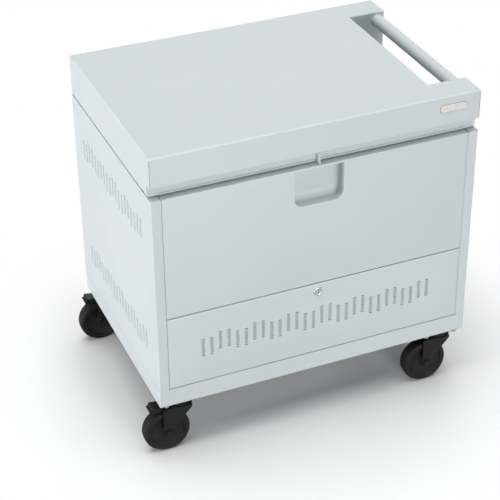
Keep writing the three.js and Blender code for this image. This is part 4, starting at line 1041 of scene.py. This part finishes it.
def rear_screws():
    """Screw heads along the rear sheet's edges and on both leaves of the lid's hinge."""
    low, high = reach("rear_panel")
    leaf_low, leaf_high = reach("lid_hinge_lower_leaf")
    leaf_top = reach("lid_hinge_upper_leaf")[1][2]
    edges = [(x, z) for x in (low[0] + SCREW_SIDE, high[0] - SCREW_SIDE)
             for z in np.linspace(low[2] + 25, high[2] - 60, 5)]
    edges += [(x, low[2] + SCREW_FOOT) for x in np.linspace(low[0] + 130, high[0] - 130, 4)]
    piece("rear_screws", [screw(place, high[1], SHEET_SCREW) for place in edges], "cabinet", "zinc")
    run = np.linspace(leaf_low[0] + 30, leaf_high[0] - 30, 7)
    for name, z, body in (("hinge_screws_low", leaf_low[2] + LEAF_EDGE, "cabinet"),
                          ("hinge_screws_high", leaf_top - LEAF_EDGE, "lid")):
        piece(name, [screw((x, z), LEAF_FACE, HINGE_SCREW) for x in run], body, "zinc")


side_wall("left_wall", -1)
side_wall("right_wall", 1)
for make in (lower_panel, drop_front, pull_cup, lid_cover, groove_band, lid_seal, gap_strips, handle_bar,
             blank_badge, catch_tongue, fascia_seam_shade, base_seam_shade, lock_rim, rear_screws):
    make()
for place in ("front_left", "front_right", "rear_left", "rear_right"):
    caster_wheel(place)
    caster_fork(place)
    caster_bolts(place)


# Floor, light and camera, in metres and watts

# The floor: its half length, its colour to the camera and to bounced light, and the distances from the
# cart's middle between which it fades into the backdrop.
FLOOR_HALF = 9.0
FLOOR_COLOUR = (0.88, 0.88, 0.88, 1.0)
BOUNCE_COLOUR = (0.42, 0.43, 0.44, 1.0)
FADE_START = 0.42
FADE_END = 0.82
# The grey light from all sides, and the backdrop that the camera and reflections see.
FILL_COLOUR = (0.80, 0.83, 0.85, 1.0)
FILL_STRENGTH = 0.06
BACKDROP_COLOUR = (1.0, 1.0, 0.985, 1.0)
# Lamps: name, place, target, edge length and power. The side lamps stand low, so that they leave the
# lid's top to the lamp above it.
LAMPS = (
    ("top_soft", (0.0, 0.3, 5.5), (0.0, 0.301, 0.4), 6.5, 402.0),
    ("left_side", (-4.5, -0.4, 0.52), (0.0, 0.0, 0.42), 0.95, 163.0),
    ("front_side", (0.4, -4.5, 0.52), (0.0, 0.0, 0.42), 0.95, 127.0),
    ("rear_fill", (1.6, 4.5, 0.4), (0.0, 0.0, 0.4), 0.6, 48.0),
)
# The camera solved on the cabinet's edges: yaw, pitch and roll in degrees, its place, and its focal
# length and picture width in pixels.
CAMERA_TURN = (22.6154, 32.6917, -0.6097)
CAMERA_PLACE = (-1.2186, -2.7985, 2.2586)
FOCAL_PIXELS = 1531.88
PICTURE_PIXELS = 500.0
SENSOR = 36.0


def background_rays(tree):
    """One for camera, glossy and transmission rays, which show the background, and zero for all others."""
    path = add_node(tree, "LightPath").outputs
    shown = maths(tree, "MAXIMUM", path["Is Camera Ray"], path["Is Glossy Ray"])
    return maths(tree, "MAXIMUM", shown, path["Is Transmission Ray"])


def blend_shaders(tree, factor, first, second):
    """Two shader sockets mixed by a factor socket."""
    node = add_node(tree, "MixShader", Fac=factor)
    tree.links.new(first, node.inputs[1])
    tree.links.new(second, node.inputs[2])
    return node.outputs["Shader"]


def studio_floor():
    """A wide flat grid under the wheels, white to the camera and in reflections, grey to bounced light.

    Near the cart it shows the shadow, and from there outward it fades into the white backdrop.
    """
    mesh = bpy.data.meshes.new("studio_floor")
    u = np.linspace(-FLOOR_HALF, FLOOR_HALF, 3)
    points = along_z(*np.broadcast_arrays(u[None], u[:, None], 0.0)).reshape(-1, 3)
    mesh.from_pydata(points.tolist(), [], grid_faces(3, 3).tolist())
    made, tree, shader = new_material("studio_white")
    feed(tree, shader, Base_Color=FLOOR_COLOUR, Roughness=0.9, Specular_IOR_Level=0.1)
    away = add_node(tree, "VectorMath", Vector=add_node(tree, "TexCoord").outputs["Object"])
    away.operation = "LENGTH"
    fade = ramp(tree, away.outputs["Value"], FADE_START, FADE_END)
    fade.node.interpolation_type = "SMOOTHSTEP"
    white = add_node(tree, "Emission")
    bounce = add_node(tree, "BsdfDiffuse", Color=BOUNCE_COLOUR)
    shown = blend_shaders(tree, fade, shader.outputs["BSDF"], white.outputs["Emission"])
    surface = blend_shaders(tree, background_rays(tree), bounce.outputs["BSDF"], shown)
    tree.links.new(surface, tree.nodes["Material Output"].inputs["Surface"])
    mesh.materials.append(made)
    add_object("studio_floor", mesh)


def stand(name, data, place, right, up, back):
    """A lamp or camera at a place, its own axes along right, up and back."""
    made = add_object(name, data)
    turn = Matrix(np.column_stack([right, up, back]).tolist()).to_4x4()
    made.matrix_world = Matrix.Translation(place) @ turn
    return made


def soft_lamp(name, place, target, size, power):
    """A square area lamp at a place, facing a target."""
    data = bpy.data.lights.new(name, "AREA")
    data.size = size
    data.energy = power
    back = unit(np.array(place) - np.array(target))
    right = unit(np.cross([0.0, 0.0, 1.0], back))
    stand(name, data, place, right, np.cross(back, right), back)


def studio_world():
    """White for the camera and in reflections, and an even grey light for everything else."""
    world = bpy.data.worlds.new("studio_world")
    bpy.context.scene.world = world
    world.use_nodes = True
    tree = world.node_tree
    fill = feed(tree, tree.nodes["Background"], Color=FILL_COLOUR, Strength=FILL_STRENGTH)
    white = add_node(tree, "Background", Color=BACKDROP_COLOUR)
    surface = blend_shaders(
        tree, background_rays(tree), fill.outputs["Background"], white.outputs["Background"])
    tree.links.new(surface, tree.nodes["World Output"].inputs["Surface"])


def photo_camera():
    """The photograph's camera: its place, and right, up and forward from its three angles."""
    yaw, pitch, roll = np.radians(CAMERA_TURN)
    right = np.array([np.cos(yaw), -np.sin(yaw), 0.0])
    ahead = np.array([np.sin(yaw) * np.cos(pitch), np.cos(yaw) * np.cos(pitch), -np.sin(pitch)])
    up = np.cross(right, ahead)
    across = np.cos(roll) * right + np.sin(roll) * up
    over = -np.sin(roll) * right + np.cos(roll) * up
    data = bpy.data.cameras.new("photo_camera")
    data.sensor_width = SENSOR
    data.lens = FOCAL_PIXELS / PICTURE_PIXELS * SENSOR
    data.clip_end = 60.0
    bpy.context.scene.camera = stand("photo_camera", data, CAMERA_PLACE, across, over, -ahead)


studio_floor()
studio_world()
for lamp in LAMPS:
    soft_lamp(*lamp)
photo_camera()
bpy.context.scene.view_settings.view_transform = "Standard"
